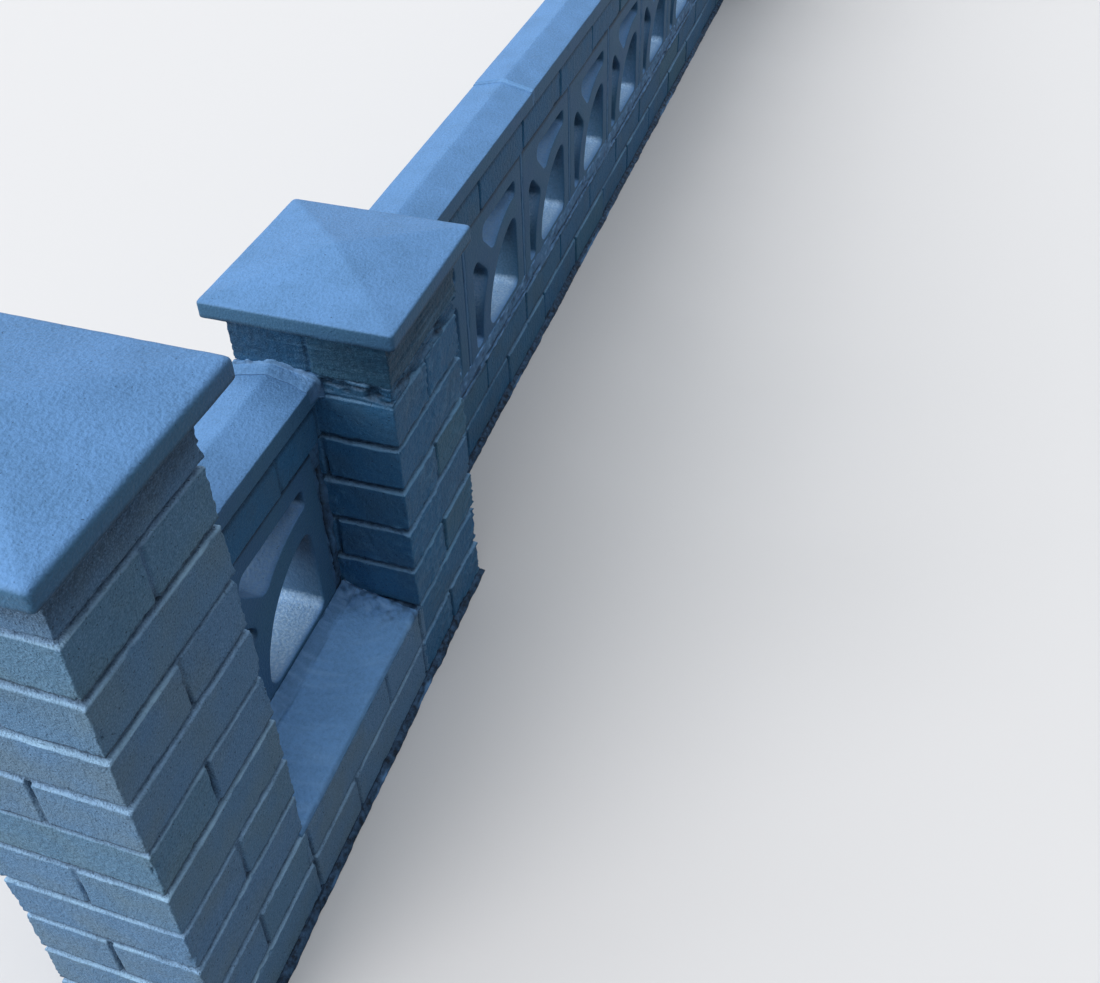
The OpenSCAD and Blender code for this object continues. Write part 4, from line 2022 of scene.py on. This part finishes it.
@dataclass(frozen=True)
class Viewpoint:
    """Where the photograph was taken from, found from the wall's own corners in it.

    Args:
        place: The camera's place in metres.
        yaw: How far it is turned from X towards Y in radians.
        pitch: How far it looks up in radians.
        roll: How far it is turned about its own axis in radians.
        lens: Focal length in mm.
        sensor: Width of the camera's sensor in mm.
        shift: Shift of the frame as shares of its width.
    """

    place: tuple[float, float, float] = (-2.2849, -0.6488, 1.4636)
    yaw: float = 0.321
    pitch: float = -0.676
    roll: float = -0.023
    lens: float = 38.81
    sensor: float = 36.0
    shift: tuple[float, float] = (-0.001, -0.0974)

    def build(self) -> None:
        """Makes the scene's camera."""
        flat = math.cos(self.pitch)
        ahead = Vector((math.cos(self.yaw) * flat, math.sin(self.yaw) * flat, math.sin(self.pitch)))
        level = ahead.cross(Vector((0, 0, 1))).normalized()
        above = level.cross(ahead)
        right = math.cos(self.roll) * level + math.sin(self.roll) * above
        up = math.cos(self.roll) * above - math.sin(self.roll) * level
        data = bpy.data.cameras.new("camera")
        data.lens, data.sensor_width = self.lens, self.sensor
        data.shift_x, data.shift_y = self.shift
        made = bpy.data.objects.new("camera", data)
        turned = Matrix((right, up, -ahead)).transposed().to_4x4()
        made.matrix_world = Matrix.Translation(self.place) @ turned
        bpy.context.collection.objects.link(made)
        bpy.context.scene.camera = made


@dataclass(frozen=True)
class SoftLamp:
    """A broad soft lamp, so far away that its light comes from one direction all over the wall.

    Args:
        name: Name of the lamp.
        towards: Direction from the wall to the lamp.
        softness: How wide the lamp looks from the wall in degrees.
        strength: Strength of the lamp.
        colour: Colour of its light.
    """

    name: str
    towards: tuple[float, float, float]
    softness: float
    strength: float
    colour: str = "#FFFFFF"

    def build(self) -> None:
        """Makes the lamp."""
        data = bpy.data.lights.new(self.name, "SUN")
        data.energy, data.angle = self.strength, math.radians(self.softness)
        data.color = linear(self.colour)[:3]
        made = bpy.data.objects.new(self.name, data)
        made.rotation_mode = "QUATERNION"
        made.rotation_quaternion = Vector(self.towards).to_track_quat("Z", "Y")
        bpy.context.collection.objects.link(made)


@dataclass(frozen=True)
class Studio:
    """A pale floor under soft lamps from above, the left and the street side, with an even fill.

    Args:
        floor: Colour of the floor as it is seen.
        bounce: Colour of the floor as it lights the wall.
        reach: How far the floor reaches each way in metres.
        lamps: The lamps.
        fill: Strength of the even fill.
    """

    floor: str = "#D9DCE0"
    bounce: str = "#7B838C"
    reach: float = 60.0
    lamps: tuple[SoftLamp, ...] = (
        SoftLamp("side", (-0.8, 0.42, 0.42), 40.0, 2.1, "#FFF6F0"),
        SoftLamp("overhead", (0.0, 0.14, 0.99), 85.0, 1.85),
        SoftLamp("street", (-0.3, 0.86, 0.42), 40.0, 0.9),
    )
    fill: float = 0.242

    def build(self) -> None:
        """Makes the floor, the lamps and the world."""
        self.build_floor()
        for lamp in self.lamps:
            lamp.build()
        self.build_world()
        bpy.context.scene.view_settings.view_transform = "Standard"

    def seen(self, tree: bpy.types.NodeTree) -> bpy.types.NodeSocket:
        """Tells the rays that show a thing from those that only carry its light.

        Args:
            tree: The tree that the nodes go in.

        Returns:
            A socket that is 1 for camera, glossy and transmission rays and 0 for the rest.
        """
        rays = add_node(tree, "ShaderNodeLightPath").outputs
        shown = rays["Is Camera Ray"]
        for kind in ("Is Glossy Ray", "Is Transmission Ray"):
            either = {0: shown, 1: rays[kind]}
            shown = add_node(tree, "ShaderNodeMath", {"operation": "MAXIMUM"}, either).outputs[0]
        return shown

    def build_floor(self) -> None:
        """Makes the floor, which isn't part of the wall."""
        mesh = bpy.data.meshes.new("floor")
        corners = [(-1, -1, 0), (1, -1, 0), (1, 1, 0), (-1, 1, 0)]
        mesh.from_pydata((np.array(corners) * self.reach).tolist(), [], [(0, 1, 2, 3)])
        plain = bpy.data.materials.new("pale_floor")
        plain.use_nodes = True
        tree = plain.node_tree
        tree.nodes.clear()
        settings = {"data_type": "RGBA", 6: linear(self.bounce), 7: linear(self.floor)}
        colour = add_node(tree, "ShaderNodeMix", settings, {0: self.seen(tree)}).outputs[2]
        settings = {"Roughness": 0.9, "Specular IOR Level": 0.2}
        shader = add_node(tree, "ShaderNodeBsdfPrincipled", settings, {"Base Color": colour})
        add_node(tree, "ShaderNodeOutputMaterial", {}, {"Surface": shader.outputs[0]})
        mesh.materials.append(plain)
        floor = bpy.data.objects.new("floor", mesh)
        bpy.context.collection.objects.link(floor)

    def build_world(self) -> None:
        """Makes the world, an even fill that the camera sees as white."""
        world = bpy.data.worlds.new("studio")
        bpy.context.scene.world = world
        world.use_nodes = True
        tree = world.node_tree
        tree.nodes.clear()
        white = (1.0, 1.0, 1.0, 1.0)
        fill = add_node(tree, "ShaderNodeBackground", {"Color": white, "Strength": self.fill})
        seen = add_node(tree, "ShaderNodeBackground", {"Color": white, "Strength": 1.0})
        links = {0: self.seen(tree), 1: fill.outputs[0], 2: seen.outputs[0]}
        both = add_node(tree, "ShaderNodeMixShader", {}, links)
        add_node(tree, "ShaderNodeOutputWorld", {}, {"Surface": both.outputs[0]})


def main() -> None:
    """Builds the stage, the camera and the wall from its near end to its far end."""
    logging.basicConfig(level=logging.INFO, format="%(name)s: %(message)s")
    Studio().build()
    Viewpoint().build()

    near = CappedPier(
        "near", rows=11, rough_row=-1, seed=3, fine=1.4, cap_spacing=3.8, cap_arris=7.0,
        bricks=BrickFaces(sheltered=78.0),
    )
    middle = CappedPier(
        "middle", rows=8, rough_row=7, seed=11, fine=1.6, cap_spacing=4.5,
        bricks=BrickFaces(bed_top=15.0, wander=1.6, chip=3.6, sheltered=105.0, smeared=2.3),
        paint=SHADED_FRESH_PAINT_ON_BRICK,
    )
    far = CappedPier(
        "far", rows=8, rough_row=7, seed=23, fine=2.8, cap_spacing=7.0,
        bricks=BrickFaces(sheltered=80.0), paint=SHADED_FRESH_PAINT_ON_BRICK,
    )
    short_bay = ScreenBay(
        "short", ["short_block"], ["short_coping"], base_joints=(126.0, 242.0), top_joint=253.0,
        seed=5, fine=1.7, coping_spacing=3.2, block_spacing=4.4,
    )
    long_blocks = [f"long_block_{number}" for number in range(1, 10)]
    long_stones = [f"long_coping_{number}" for number in range(1, 5)]
    long_bay = ScreenBay(
        "long", long_blocks, long_stones, base_joints=(26.0, 138.0), top_joint=155.0,
        seed=17, fine=2.2, coping_spacing=6.0, block_spacing=8.0, paint=SHADED_FRESH_PAINT_ON_BRICK, sheltered=6.0,
    )
    for assembly in (near, short_bay, middle, long_bay, far):
        assembly.build()
        LOG.info("%s is built", assembly.name)

    MortarLedge("short_ledge", seed=101).build()
    low, high = node_box("long_block_fillet")
    foot_line = [(low[0], high[1]), (high[0], high[1])]
    MortarFillet(
        "long_block_fillet", foot_line, high[1] - low[1], lumps=2.4, relief_shading=0.7,
        crack=7.0, crack_at=7.0, crack_w=3.4, seed=111,
    ).build()
    front = near.box()[0][1]
    setback = node_box("long_base")[0][1]
    ground_line = [
        (near.box()[0][0], front),
        (middle.box()[1][0], front),
        (middle.box()[1][0], setback),
        (far.box()[0][0], setback),
        (far.box()[0][0], front),
        (far.box()[1][0], front),
    ]
    width = front - node_box("ground_fillet")[0][1]
    MortarFillet(
        "ground_fillet", ground_line, width, lumps=1.8,
        crack_at=11.5, dirty_from=4.5, buried=0.65, seed=121,
    ).build()


if __name__ == "__main__":
    main()
